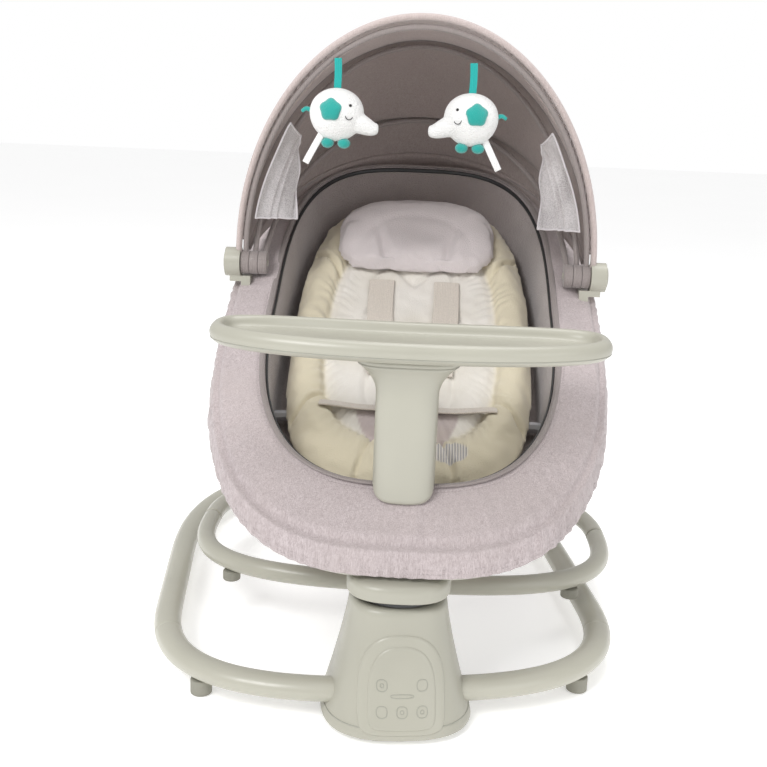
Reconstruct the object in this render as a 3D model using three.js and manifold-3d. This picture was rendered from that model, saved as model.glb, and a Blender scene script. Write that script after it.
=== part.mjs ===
// Electric baby swing: a floor ring with a motor housing at its front, and a seat on an oval frame
// that turns about an upright shaft above the housing. Millimetres, +Z up, the child faces -Y.
// The origin is on the floor, on the swing shaft's axis. The axes follow the seat.
import * as THREE from "three";
import { mergeVertices } from "three/addons/utils/BufferGeometryUtils.js";
import Module from "manifold-3d";

const wasm = await Module();
wasm.setup();

// ---------------------------------------------------------------- driving dimensions

const gap = 0.4; // what two pieces that touch keep between their faces
const runningGap = 0.5; // round a shaft, a tongue or a button that moves
const clothGap = 1.5; // between cloth and what it covers
const seamGap = 1.6; // between the ends of two floor tubes
const swingAngle = 7; // degrees that the base stands turned from the seat

const floorRing = {
  halfWidth: 262,
  frontY: -30,
  frontCentreY: 190,
  rearCentreY: 330,
  rearY: 672,
  frontSquareness: 2.9,
  rearSquareness: 2.6,
  tubeHalfWidth: 16,
  tubeHalfHeight: 13,
  centreZ: 31,
  frontSeamY: 105,
};
const foot = { radius: 12, footprintRadius: 10.5 };
const housing = {
  bottomZ: 6,
  topZ: 132,
  topHalfWidth: 52,
  topHalfDepth: 50,
  flare: 30,
  flareForward: 11,
  wall: 3,
  squareness: 2.7,
  shaftHoleRadius: 20,
  edgeRound: 5,
};
const panel = { halfWidth: 46, bottomZ: 11, shoulderZ: 70, topZ: 107, proud: 1.6 };
const touchPad = { inset: 10, proud: 1.1 };
const basePlate = {
  edgeGap: 2,
  padX: 45,
  padHalfWidth: 9,
  padFrontY: -40,
  padRearY: 20,
  middlePadRadius: 14,
};
const inlet = { radius: 9, length: 16, z: 40, wallInset: 12 };
const coil = { halfWidth: 24, frontY: -52, rearY: -28, topZ: 34 };
const circuit = { halfWidth: 30, frontY: -60, thickness: 1.6, topZ: 66 };
const speaker = { y: 22, radius: 18, magnetRadius: 9, rimHeight: 6, height: 14 };
const head = { gapAboveHousing: 8, topZ: 163, halfWidth: 56, halfDepth: 54, wall: 3, crownZ: 5 };
const shaft = { radius: 12, bottomZ: 34 };
const bush = { flangeRadius: 26, flangeThickness: 5 };
const magnetArm = { halfWidth: 16, frontY: -50, rearY: 20, bottomZ: 40, topZ: 52 };

const seat = {
  halfWidth: 240,
  frontY: -44,
  rearY: 640,
  frontSquareness: 3,
  rearSquareness: 3.2,
  frontTopZ: 197,
  slope: 0.42,
  frontRise: 61,
  riseLength: 250,
  bandWidth: 60,
  bandCrown: 12,
  clothThickness: 3,
  hemDrop: 31,
  floorBelowLiner: 52,
};
const rim = { inset: 20, halfWidth: 12, halfHeight: 17.5, drop: 23, seamY: 330, seamAngle: 0.1 };
const liner = {
  frontY: 62,
  frontZ: 226,
  slope: 0.496,
  bend: 0.000384,
  bendY: 300,
  thickness: 22,
  halfWidth: 150,
  rearY: 558,
  splitY: 214,
  splitGap: 17,
  endTaper: 0.55,
  endSharpness: 5,
};
const recline = { y: 215, z: 262, barRadius: 7, sleeveRadius: 10.6, sleeveX: 120, sleeveWidth: 22 };
const backrest = {
  tubeRadius: 8,
  halfWidth: 120,
  cornerY: 420,
  rearY: 540,
  endSquareness: 2.6,
  boardThickness: 4,
  boardFrontY: 236,
  boardRearY: 474,
};

const legs = {
  halfWidth: 265,
  frontY: 148,
  rearY: 520,
  frontSquareness: 3,
  rearSquareness: 2.4,
  tubeRadius: 12,
  centreZ: 75,
  footX: 213,
  rearFootX: 200,
  footHeight: 12.6,
};
const beam = { halfWidth: 22, halfHeight: 11, frontZ: 150, rearZ: 112, rearY: 530 };
const clamp = { halfWidth: 18, front: 11, rear: 9 };
const strut = { x: 150, radius: 9 };

const bowHeight = 303; // of the hood's wire bows, above their hinges
const hood = {
  hingeY: 330,
  hingeZ: 434,
  barrelInnerX: seat.halfWidth - 13,
  barrelOuterX: seat.halfWidth + 7,
  barrelRadius: 19,
  pinRadius: 4,
  hubRadius: 15,
  hubWidth: 11,
  bowRadius: 3.5,
  bowHeight,
  frontAngle: 11,
  midAngle: -20.5,
  rearAngle: -52,
  hemAngle: -64,
  shellThickness: 2,
  shellStep: 4.5,
  shellHalfWidth: seat.halfWidth - 18,
  shellHeight: bowHeight + 5,
  shellStart: 26,
};
const hinge = { stemHalfWidth: 6, stemHalfDepth: 9, armGap: 8 };
const net = {
  halfWidth: seat.halfWidth - 54,
  height: bowHeight - 23,
  thickness: 2,
  fromAngle: 9,
  toAngle: -12,
  lowWay: 12,
  highWay: 40,
};

const tray = {
  halfWidth: 213,
  frontY: -40,
  rearY: 90,
  bow: 25,
  squareness: 3,
  bottomZ: 388,
  rimZ: 411,
  floorZ: 400,
  rimWidth: 18,
};
const post = {
  centreY: 16,
  halfWidth: 33,
  halfDepth: 24,
  collarHalfWidth: 53,
  collarHalfDepth: 36,
  squareness: 3.4,
};
const tongue = { y: seat.frontY + rim.inset + rim.halfWidth + 13, halfWidth: 14, halfDepth: 5, bottomZ: 186 };
const socket = { wall: 4, bottomZ: 165 };
const release = { z: 300, halfWidth: 10, halfHeight: 7, depth: 8, proud: 3 };

const buckle = {
  y: 184,
  halfWidth: 28,
  halfLength: 22,
  thickness: 13,
  lift: 8,
  pocketDepth: 6,
  buttonRadius: 9,
  buttonProud: 1,
};
const strap = { halfWidth: 17, thickness: 3, shoulderX: 44, waistReach: 108, crotchReach: 52 };
const pillow = { y: 455, halfWidth: 118, halfLength: 61, thickness: 26, edgeShare: 0.5 };

const toy = {
  z: hood.hingeZ + bowHeight - 111,
  dropY: 274,
  leftX: -103,
  rightX: 60,
  radius: 34,
  halfDepth: 24,
  flatness: 0.96,
  trunkRadius: 8,
  trunkLength: 26,
  trunkDrop: 13,
};
const ribbon = { halfWidth: 6, thickness: 2, topZ: hood.hingeZ + bowHeight - 45 };

const finishes = {
  shell: { color: 0xb4b5a3, roughness: 0.42, metalness: 0 },
  panel: { color: 0xbdbdac, roughness: 0.36, metalness: 0 },
  tube: { color: 0xb8bba9, roughness: 0.38, metalness: 0.1 },
  rubber: { color: 0xa9ab9c, roughness: 0.8, metalness: 0 },
  steel: { color: 0x9a9da0, roughness: 0.3, metalness: 1 },
  darkPlastic: { color: 0x2f3130, roughness: 0.5, metalness: 0 },
  board: { color: 0x2d5a3c, roughness: 0.6, metalness: 0 },
  copper: { color: 0xb06a3a, roughness: 0.4, metalness: 1 },
  melange: { color: 0xb3a8aa, roughness: 0.95, metalness: 0 },
  liner: { color: 0xe6dfc4, roughness: 0.95, metalness: 0 },
  pillow: { color: 0xe4dfe3, roughness: 0.95, metalness: 0 },
  net: { color: 0xd6d2d3, roughness: 0.9, metalness: 0 },
  webbing: { color: 0xcabfb4, roughness: 0.9, metalness: 0 },
  plush: { color: 0xf2f0ee, roughness: 1, metalness: 0 },
  teal: { color: 0x17a193, roughness: 0.9, metalness: 0 },
};

// ---------------------------------------------------------------- geometry helpers

const radians = THREE.MathUtils.degToRad;
const vec = (x, y, z) => new THREE.Vector3(x, y, z);

// A point of a rounded oval about the origin, with its semi-axes, squareness and angle.
function ovalPoint(a, b, squareness, angle) {
  const c = Math.cos(angle);
  const s = Math.sin(angle);
  const power = 2 / squareness;
  return [Math.sign(c) * a * Math.abs(c) ** power, Math.sign(s) * b * Math.abs(s) ** power];
}

// One closed ring of points, anticlockwise from above: place gives the point for each angle.
function ring(count, place) {
  return Array.from({ length: count }, (_, i) => place((2 * Math.PI * i) / count));
}

// A solid through a stack of rings that runs outside up and inside down. Its first and last
// rings are closed by a fan, or joined to each other where the stack itself is a loop.
function loft(rings, loop = false) {
  const count = rings[0].length;
  const points = rings.flat();
  const index = [];
  const bands = loop ? rings.length : rings.length - 1;
  for (let i = 0; i < bands; i++) {
    const low = i * count;
    const high = ((i + 1) % rings.length) * count;
    for (let j = 0; j < count; j++) {
      const k = (j + 1) % count;
      index.push(low + j, low + k, high + k, low + j, high + k, high + j);
    }
  }
  if (!loop) {
    const last = (rings.length - 1) * count;
    const centreOf = (list) =>
      list.reduce((sum, p) => sum.add(p), vec(0, 0, 0)).divideScalar(list.length);
    points.push(centreOf(rings[0]), centreOf(rings[rings.length - 1]));
    for (let j = 0; j < count; j++) {
      const k = (j + 1) % count;
      index.push(points.length - 2, k, j, points.length - 1, last + j, last + k);
    }
  }
  const geometry = new THREE.BufferGeometry().setFromPoints(points);
  return geometry.setIndex(index);
}

// A closed sheet of even thickness over a grid of points, given its outer and inner surface.
function sheet(outer, inner) {
  const rows = outer.length;
  const columns = outer[0].length;
  const points = [...outer.flat(), ...inner.flat()];
  const at = (side, i, j) => side * rows * columns + i * columns + j;
  const index = [];
  const quad = (a, b, c, d) => index.push(a, b, c, a, c, d);
  for (let i = 0; i < rows - 1; i++) {
    for (let j = 0; j < columns - 1; j++) {
      quad(at(0, i, j), at(0, i, j + 1), at(0, i + 1, j + 1), at(0, i + 1, j));
      quad(at(1, i, j), at(1, i + 1, j), at(1, i + 1, j + 1), at(1, i, j + 1));
    }
    const end = columns - 1;
    quad(at(0, i, 0), at(0, i + 1, 0), at(1, i + 1, 0), at(1, i, 0));
    quad(at(0, i, end), at(1, i, end), at(1, i + 1, end), at(0, i + 1, end));
  }
  for (let j = 0; j < columns - 1; j++) {
    const end = rows - 1;
    quad(at(0, 0, j), at(1, 0, j), at(1, 0, j + 1), at(0, 0, j + 1));
    quad(at(0, end, j), at(0, end, j + 1), at(1, end, j + 1), at(1, end, j));
  }
  const geometry = new THREE.BufferGeometry().setFromPoints(points);
  return geometry.setIndex(index);
}

// A bar of oval section along a smooth path.
function tube(points, halfA, halfB, steps, sides) {
  const section = Array.from({ length: sides }, (_, i) => {
    const angle = (2 * Math.PI * i) / sides;
    return new THREE.Vector2(halfA * Math.cos(angle), halfB * Math.sin(angle));
  });
  return new THREE.ExtrudeGeometry(new THREE.Shape(section), {
    steps,
    extrudePath: new THREE.CatmullRomCurve3(points, false, "centripetal"),
  });
}

function box(xs, ys, zs) {
  const geometry = new THREE.BoxGeometry(xs[1] - xs[0], ys[1] - ys[0], zs[1] - zs[0]);
  const middle = (range) => (range[0] + range[1]) / 2;
  return geometry.translate(middle(xs), middle(ys), middle(zs));
}

// A lathe turned about the Z axis. The profile is a list of [radius, height], upwards outside.
function lathe(profile, sides = 24) {
  return new THREE.LatheGeometry(
    profile.map(([r, z]) => new THREE.Vector2(r, z)),
    sides,
  ).rotateX(Math.PI / 2);
}

// The same lathe laid along X, its heights now measured along +X.
const latheAlongX = (profile, sides) => lathe(profile, sides).rotateY(Math.PI / 2);

function solid(geometry) {
  const bare = geometry.clone();
  bare.deleteAttribute("normal");
  bare.deleteAttribute("uv");
  const merged = mergeVertices(bare, 1e-3);
  return new wasm.Manifold(
    new wasm.Mesh({
      numProp: 3,
      vertProperties: merged.attributes.position.array,
      triVerts: new Uint32Array(merged.index.array),
    }),
  );
}

function geometryOf(manifold) {
  const mesh = manifold.getMesh();
  const geometry = new THREE.BufferGeometry();
  geometry.setAttribute("position", new THREE.BufferAttribute(mesh.vertProperties, 3));
  return geometry.setIndex(new THREE.BufferAttribute(mesh.triVerts, 1));
}

const cut = (geometry, ...tools) =>
  geometryOf(tools.reduce((body, tool) => body.subtract(solid(tool)), solid(geometry)));
const join = (geometry, ...others) =>
  geometryOf(others.reduce((body, other) => body.add(solid(other)), solid(geometry)));

function add(group, name, finish, geometry) {
  const faceted = geometry.index ? geometry.toNonIndexed() : geometry;
  faceted.computeVertexNormals();
  const mesh = new THREE.Mesh(faceted, new THREE.MeshStandardMaterial(finishes[finish]));
  mesh.name = name;
  group.add(mesh);
  return mesh;
}

const sides = [
  ["left", -1],
  ["right", 1],
];

// ---------------------------------------------------------------- shared surfaces

// A closed floor-plan oval whose front and rear halves have their own depth and squareness,
// with a straight run between them. Angle -90 degrees is its front.
function planOval(shape, inset, angle) {
  const front = Math.sin(angle) < 0;
  const centre = front ? shape.frontCentreY : shape.rearCentreY;
  const depth = front ? centre - shape.frontY : shape.rearY - centre;
  const squareness = front ? shape.frontSquareness : shape.rearSquareness;
  const [x, y] = ovalPoint(shape.halfWidth - inset, depth - inset, squareness, angle);
  return [x, y + centre];
}

const seatCentreY = (seat.frontY + seat.rearY) / 2;
const seatPlan = { ...seat, frontCentreY: seatCentreY, rearCentreY: seatCentreY };
const legCentreY = (legs.frontY + legs.rearY) / 2;
const legPlan = { ...legs, frontCentreY: legCentreY, rearCentreY: legCentreY };

// Height of the seat's outer edge: a straight slope that starts steeper at the front.
function seatTopZ(y) {
  const t = Math.max(y - seat.frontY, 0);
  return seat.frontTopZ + seat.slope * t + seat.frontRise * (1 - Math.exp(-t / seat.riseLength));
}

// Height of the liner's upper face along the seat's middle: a slope that steepens to the head.
function linerZ(y) {
  const t = y - liner.frontY;
  return liner.frontZ + liner.slope * t + liner.bend * t * (y - liner.bendY);
}
const seatFloorZ = (y) => linerZ(y) - seat.floorBelowLiner;

// A point of the hood: width and height of the bow, the way round it and its lean, in degrees,
// forward from upright. Way 0 is the left hinge, 180 the right one, 90 the top.
function hoodPoint(halfWidth, height, way, lean) {
  const r = height * Math.sin(radians(way));
  return vec(
    -halfWidth * Math.cos(radians(way)),
    hood.hingeY - r * Math.sin(radians(lean)),
    hood.hingeZ + r * Math.cos(radians(lean)),
  );
}

// ---------------------------------------------------------------- base

// The housing's outline at a height, pushed out by grow.
function housingRing(z, grow, count = 28) {
  const spread = (1 - (z - housing.bottomZ) / (housing.topZ - housing.bottomZ)) ** 1.3;
  const a = housing.topHalfWidth + housing.flare * spread + grow;
  const b = housing.topHalfDepth + housing.flare * spread + grow;
  return ring(count, (angle) => {
    const [x, y] = ovalPoint(a, b, housing.squareness, angle);
    return vec(x, y - housing.flareForward * spread, z);
  });
}

const housingLevels = [0, 0.14, 0.3, 0.5, 0.7, 0.86].map(
  (share) => housing.bottomZ + share * (housing.topZ - housing.bottomZ),
);
const circleRing = (radius, z, count = 28) =>
  ring(count, (angle) => vec(radius * Math.cos(angle), radius * Math.sin(angle), z));

function housingShell() {
  const { topZ, wall, edgeRound, shaftHoleRadius } = housing;
  const outside = [
    ...housingLevels.map((z) => housingRing(z, 0)),
    housingRing(topZ - edgeRound, 0),
    housingRing(topZ, -edgeRound),
  ];
  const inside = [
    housingRing(topZ - wall, -edgeRound - wall),
    housingRing(topZ - edgeRound - wall, -wall),
    ...[...housingLevels].reverse().map((z) => housingRing(z, -wall)),
  ];
  const hole = [circleRing(shaftHoleRadius, topZ), circleRing(shaftHoleRadius, topZ - wall)];
  return loft([...outside, ...hole, ...inside], true);
}

const housingBlock = (grow) =>
  loft([
    ...housingLevels.map((z) => housingRing(z, grow)),
    housingRing(housing.topZ - housing.edgeRound, grow),
  ]);

// An upright arch-topped outline, swept forward from the housing's middle.
function archPrism(halfWidth, bottomZ, shoulderZ, topZ) {
  const outline = new THREE.Shape();
  outline.moveTo(-halfWidth, bottomZ);
  outline.lineTo(halfWidth, bottomZ);
  outline.lineTo(halfWidth, shoulderZ);
  outline.absellipse(0, shoulderZ, halfWidth, topZ - shoulderZ, 0, Math.PI);
  const depth = 2 * (housing.topHalfDepth + housing.flare);
  return new THREE.ExtrudeGeometry(outline, {
    depth,
    bevelEnabled: false,
    curveSegments: 8,
  }).rotateX(Math.PI / 2);
}

// A raised skin of the housing's front, inside an arch-topped outline.
function archSkin(prism, below, above) {
  const skin = solid(prism).intersect(solid(housingBlock(above)));
  return geometryOf(skin.subtract(solid(housingBlock(below))));
}

// Points of a plan oval at one height from one angle to another, in degrees. Two extra points
// close to the ends make the path leave and arrive along the oval itself.
function planPath(shape, z, from, to, count) {
  const even = Array.from({ length: count + 1 }, (_, i) => i / count);
  const shares = [0, 0.02 / count, ...even.slice(1, -1), 1 - 0.02 / count, 1];
  return shares.map((share) => {
    const [x, y] = planOval(shape, 0, radians(from + (to - from) * share));
    return vec(x, y, z);
  });
}

// The angle, in degrees, at which a plan oval's right side reaches a given Y.
function angleAtY(shape, y) {
  const front = y < (shape.frontCentreY + shape.rearCentreY) / 2;
  const centre = front ? shape.frontCentreY : shape.rearCentreY;
  const depth = front ? centre - shape.frontY : shape.rearY - centre;
  const squareness = front ? shape.frontSquareness : shape.rearSquareness;
  const share = THREE.MathUtils.clamp((y - centre) / depth, -1, 1);
  const angle = Math.asin(Math.abs(share) ** (squareness / 2));
  return THREE.MathUtils.radToDeg(front ? -angle : angle);
}

const mirrorX = (points) => points.map((p) => vec(-p.x, p.y, p.z));

function ringTube(points, grow = 0, steps = 12) {
  const { tubeHalfHeight, tubeHalfWidth } = floorRing;
  return tube(points, tubeHalfHeight + grow, tubeHalfWidth + grow, steps, 10);
}

function buildBase() {
  const group = new THREE.Group();
  group.rotation.z = radians(swingAngle);
  const { centreZ, frontSeamY, tubeHalfHeight, rearY } = floorRing;

  const seamFront = angleAtY(floorRing, frontSeamY);
  const startX = housing.topHalfWidth + housing.flare - 20;
  const startAngle = THREE.MathUtils.radToDeg(
    -Math.acos((startX / floorRing.halfWidth) ** (floorRing.frontSquareness / 2)),
  );
  const frontPath = planPath(floorRing, centreZ, startAngle, seamFront, 8);
  const rearPath = planPath(floorRing, centreZ, seamFront, 180 - seamFront, 30);

  // The last length of a path is left out, so that the next tube starts after a small gap.
  const trimmed = (points) => {
    const end = points[points.length - 1];
    const back = points[points.length - 2].clone().sub(end).setLength(seamGap);
    return [...points.slice(0, -2), end.clone().add(back)];
  };
  const inletY = housing.topHalfDepth + housing.flare - housing.flareForward - inlet.wallInset;
  const inletBar = (grow, length) =>
    new THREE.CylinderGeometry(inlet.radius + grow, inlet.radius + grow, length, 16).translate(
      0,
      inletY,
      inlet.z,
    );

  add(
    group,
    "housing_shell",
    "shell",
    cut(
      housingShell(),
      ringTube(frontPath, gap),
      ringTube(mirrorX(frontPath), gap),
      inletBar(gap, 4 * inlet.length),
    ),
  );

  // The base plate stands on three pads, the middle one under the shaft.
  const plateRing = (z) =>
    housingRing(housing.bottomZ, -housing.wall - basePlate.edgeGap).map((p) => p.setZ(z));
  const plateTop = housing.bottomZ + housing.wall;
  const { padX, padHalfWidth, padFrontY, padRearY, middlePadRadius } = basePlate;
  const padTop = housing.wall + 1;
  const pads = sides.map(([, sign]) =>
    box([sign * padX - padHalfWidth, sign * padX + padHalfWidth], [padFrontY, padRearY], [0, padTop]),
  );
  pads.push(lathe([[0, 0], [middlePadRadius, 0], [middlePadRadius, padTop], [0, padTop]]));
  add(
    group,
    "housing_base_plate",
    "darkPlastic",
    join(loft([plateRing(housing.wall), plateRing(plateTop)]), ...pads),
  );
  add(
    group,
    "control_panel",
    "panel",
    archSkin(
      archPrism(panel.halfWidth, panel.bottomZ, panel.shoulderZ, panel.topZ),
      gap,
      panel.proud,
    ),
  );
  const { inset, proud } = touchPad;
  add(
    group,
    "touch_overlay",
    "panel",
    archSkin(
      archPrism(
        panel.halfWidth - inset,
        panel.bottomZ + inset / 2,
        panel.shoulderZ,
        panel.topZ - inset,
      ),
      panel.proud + gap,
      panel.proud + gap + proud,
    ),
  );
  add(group, "power_inlet", "darkPlastic", inletBar(0, inlet.length));

  const shelfZ = plateTop + gap;
  add(
    group,
    "drive_coil",
    "copper",
    box([-coil.halfWidth, coil.halfWidth], [coil.frontY, coil.rearY], [shelfZ, coil.topZ]),
  );
  add(
    group,
    "circuit_board",
    "board",
    box(
      [-circuit.halfWidth, circuit.halfWidth],
      [circuit.frontY, circuit.frontY + circuit.thickness],
      [shelfZ, circuit.topZ],
    ),
  );
  add(
    group,
    "speaker",
    "darkPlastic",
    lathe(
      [
        [0, shelfZ],
        [speaker.radius, shelfZ],
        [speaker.radius, shelfZ + speaker.rimHeight],
        [speaker.magnetRadius, shelfZ + speaker.height],
        [0, shelfZ + speaker.height],
      ],
      16,
    ).translate(0, speaker.y, 0),
  );
  const underTop = housing.topZ - housing.wall - gap;
  const bore = shaft.radius + runningGap;
  const bushRadius = housing.shaftHoleRadius - gap;
  const flangeBottom = underTop - bush.flangeThickness;
  add(
    group,
    "shaft_bush",
    "darkPlastic",
    lathe([
      [bore, flangeBottom],
      [bush.flangeRadius, flangeBottom],
      [bush.flangeRadius, underTop],
      [bushRadius, underTop],
      [bushRadius, housing.topZ],
      [bore, housing.topZ],
      [bore, flangeBottom],
    ]),
  );

  add(group, "ring_front_right", "tube", ringTube(trimmed(frontPath)));
  add(group, "ring_front_left", "tube", ringTube(trimmed(mirrorX(frontPath))));
  add(group, "ring_rear", "tube", ringTube(rearPath, 0, 34));

  const footTop = centreZ - tubeHalfHeight - gap;
  const ringFoot = () =>
    lathe([[0, 0], [foot.footprintRadius, 0], [foot.radius, 3], [foot.radius, footTop], [0, footTop]], 16);
  const feetY = { front: 22, rear: rearY - 60 };
  for (const [end, y] of Object.entries(feetY)) {
    const [x] = planOval(floorRing, 0, radians(angleAtY(floorRing, y)));
    for (const [side, sign] of sides) {
      add(group, "ring_foot_" + end + "_" + side, "rubber", ringFoot().translate(sign * x, y, 0));
    }
  }
  return group;
}

// ---------------------------------------------------------------- seat frame

const headBottomZ = housing.topZ + head.gapAboveHousing;

// The seat rim's centre line at an angle of the seat's plan, dropped below the seat's edge.
function rimPoint(angle) {
  const [x, y] = planOval(seatPlan, rim.inset, angle);
  const [, outerY] = planOval(seatPlan, 0, angle);
  return vec(x, y, seatTopZ(outerY) - rim.drop);
}

function rimTube(from, to, steps, grow = 0) {
  const points = Array.from({ length: steps + 1 }, (_, i) =>
    rimPoint(radians(from + ((to - from) * i) / steps)),
  );
  return tube(points, rim.halfWidth + grow, rim.halfHeight + grow, steps, 10);
}

const rimSeam = angleAtY(seatPlan, rim.seamY);
const rimFront = (grow = 0) =>
  rimTube(rimSeam - rim.seamAngle, -180 - rimSeam + rim.seamAngle, 30, grow);
const rimRear = (grow = 0) =>
  rimTube(rimSeam + rim.seamAngle, 180 - rimSeam - rim.seamAngle, 24, grow);

// Heights of the arm that joins a hood hinge's stem to its barrel.
const hingeArmZ = [seatTopZ(rim.seamY) + hinge.armGap, hood.hingeZ - hood.hubRadius - 2];

function headCap() {
  const { topZ, halfWidth, halfDepth, wall, crownZ } = head;
  const level = (z, inset) =>
    ring(32, (angle) => {
      const [x, y] = ovalPoint(halfWidth - inset, halfDepth - inset, housing.squareness, angle);
      return vec(x, y, z);
    });
  const rings = [
    level(topZ - wall - crownZ, 2 * wall + crownZ),
    level(topZ - wall - 2 * crownZ, wall),
    level(headBottomZ, wall),
    level(headBottomZ, 0),
    level(topZ - crownZ, 0),
    level(topZ - crownZ / 3, crownZ / 3),
    level(topZ, crownZ),
  ];
  return cut(loft(rings), rimFront(gap));
}

function buildSeatFrame() {
  const group = new THREE.Group();
  add(group, "head_cap", "shell", headCap());
  const shaftTop = head.topZ - head.wall - head.crownZ - gap;
  add(
    group,
    "swing_shaft",
    "steel",
    lathe([[0, shaft.bottomZ], [shaft.radius, shaft.bottomZ], [shaft.radius, shaftTop], [0, shaftTop]]),
  );
  const armBore = shaft.radius + gap;
  const armHole = [magnetArm.bottomZ - 10, magnetArm.topZ + 10];
  add(
    group,
    "magnet_arm",
    "steel",
    cut(
      box(
        [-magnetArm.halfWidth, magnetArm.halfWidth],
        [magnetArm.frontY, magnetArm.rearY],
        [magnetArm.bottomZ, magnetArm.topZ],
      ),
      lathe([[0, armHole[0]], [armBore, armHole[0]], [armBore, armHole[1]], [0, armHole[1]]]),
    ),
  );

  add(group, "rim_frame_front", "tube", rimFront());
  add(group, "rim_frame_rear", "tube", rimRear());

  const beamStartY = head.halfDepth + gap;
  const beamPoints = [
    vec(0, beamStartY, beam.frontZ),
    vec(0, beamStartY + 2, beam.frontZ),
    vec(0, beamStartY + 34, beam.frontZ - 8),
    vec(0, legs.frontY + 40, beam.rearZ + 6),
    vec(0, legCentreY, beam.rearZ),
    vec(0, beam.rearY, beam.rearZ),
  ];
  const clampBottom = legs.centreZ + legs.tubeRadius + gap;
  const clamps = [legs.frontY, legs.rearY].map((y) =>
    box(
      [-clamp.halfWidth, clamp.halfWidth],
      [y - clamp.front, y + clamp.rear],
      [clampBottom, beam.rearZ + beam.halfHeight - 1],
    ),
  );
  const beamBar = tube(beamPoints, beam.halfWidth, beam.halfHeight, 14, 12);
  add(group, "chassis_beam", "shell", join(beamBar, ...clamps));

  const frontPath = planPath(legPlan, legs.centreZ, -0.1, -179.9, 18);
  const rearPath = planPath(legPlan, legs.centreZ, 0.1, 179.9, 18);
  const { tubeRadius, centreZ, footX, rearFootX, footHeight } = legs;
  add(group, "leg_loop_front", "tube", tube(frontPath, tubeRadius, tubeRadius, 22, 10));
  add(group, "leg_loop_rear", "tube", tube(rearPath, tubeRadius, tubeRadius, 22, 10));

  const legFootTop = centreZ - tubeRadius - gap;
  const legFoot = () =>
    lathe(
      [
        [0, legFootTop - footHeight],
        [foot.footprintRadius - 1, legFootTop - footHeight],
        [foot.radius - 1, legFootTop - footHeight + 3],
        [foot.radius - 1, legFootTop],
        [0, legFootTop],
      ],
      16,
    );
  const legYAt = (x, front) => {
    const squareness = front ? legs.frontSquareness : legs.rearSquareness;
    const share = (1 - (x / legs.halfWidth) ** squareness) ** (1 / squareness);
    return legCentreY + (front ? -1 : 1) * share * (legs.rearY - legCentreY);
  };
  for (const [side, sign] of sides) {
    const front = legFoot().translate(sign * footX, legYAt(footX, true), 0);
    const rear = legFoot().translate(sign * rearFootX, legYAt(rearFootX, false), 0);
    add(group, "leg_foot_front_" + side, "rubber", front);
    add(group, "leg_foot_rear_" + side, "rubber", rear);
  }
  const rimAngle = Math.acos(
    (strut.x / (seat.halfWidth - rim.inset)) ** (seat.rearSquareness / 2),
  );
  const rimAbove = rimPoint(rimAngle);
  for (const [side, sign] of sides) {
    const bottom = vec(sign * strut.x, legYAt(strut.x, false), clampBottom + 2);
    const top = vec(sign * strut.x, rimAbove.y, rimAbove.z - rim.halfHeight - 6);
    const bar = tube([bottom, top], strut.radius, strut.radius, 1, 10);
    add(group, "rear_strut_" + side, "tube", bar);
  }
  return group;
}

// ---------------------------------------------------------------- recline

// The bar that the backrest turns on: level across the seat, bent up to the rim at its ends.
function reclineBarGeometry(grow = 0) {
  const [rimX] = planOval(seatPlan, rim.inset, radians(angleAtY(seatPlan, recline.y)));
  const rimUnder = seatTopZ(recline.y) - rim.drop - rim.halfHeight - 8;
  const points = [
    vec(-rimX, recline.y, rimUnder),
    vec(-rimX + 4, recline.y, recline.z + 16),
    vec(-rimX + 18, recline.y, recline.z),
    vec(-recline.sleeveX, recline.y, recline.z),
    vec(recline.sleeveX, recline.y, recline.z),
    vec(rimX - 18, recline.y, recline.z),
    vec(rimX - 4, recline.y, recline.z + 16),
    vec(rimX, recline.y, rimUnder),
  ];
  const radius = recline.barRadius + grow;
  return tube(points, radius, radius, 18, 8);
}

const boardUnderLiner = liner.thickness + clothGap;

function buildBackrest() {
  const group = new THREE.Group();
  const frameZ = (y) => linerZ(y) - boardUnderLiner - backrest.tubeRadius - clothGap;
  const { halfWidth, cornerY, rearY, endSquareness, tubeRadius } = backrest;
  const sideStart = recline.y + recline.sleeveRadius + 6;
  const corners = 8;
  const end = Array.from({ length: corners + 1 }, (_, i) => {
    const angle = (Math.PI * i) / corners;
    const [x, y] = ovalPoint(halfWidth, rearY - cornerY, endSquareness, angle);
    return vec(x, cornerY + y, frameZ(cornerY + y));
  });
  const straight = [sideStart, (sideStart + cornerY) / 2].map((y) => vec(halfWidth, y, frameZ(y)));
  const path = [...straight, ...end, ...mirrorX(straight).reverse()];
  const sleeves = sides.map(([, sign]) =>
    latheAlongX(
      [
        [recline.barRadius + runningGap, 0],
        [recline.sleeveRadius, 0],
        [recline.sleeveRadius, recline.sleeveWidth],
        [recline.barRadius + runningGap, recline.sleeveWidth],
        [recline.barRadius + runningGap, 0],
      ],
      16,
    ).translate(sign * recline.sleeveX - recline.sleeveWidth / 2, recline.y, recline.z),
  );
  const webs = sides.map(([, sign]) =>
    box(
      [sign * halfWidth - 6, sign * halfWidth + 6],
      [recline.y + recline.sleeveRadius - 2, sideStart + 3],
      [recline.z - 6, frameZ(sideStart) + 2],
    ),
  );
  add(
    group,
    "backrest_frame",
    "tube",
    join(tube(path, tubeRadius, tubeRadius, 30, 8), ...webs, ...sleeves),
  );
  const { boardThickness, boardFrontY, boardRearY } = backrest;
  const boardHalf = halfWidth - tubeRadius - clothGap - 12;
  const boardAt = (drop) =>
    Array.from({ length: 5 }, (_, i) => {
      const y = boardFrontY + ((boardRearY - boardFrontY) * i) / 4;
      return [-boardHalf, boardHalf].map((x) => vec(x, y, linerZ(y) - boardUnderLiner - drop));
    });
  add(group, "backrest_board", "darkPlastic", sheet(boardAt(2), boardAt(2 + boardThickness)));
  return group;
}

// ---------------------------------------------------------------- soft seat

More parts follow.
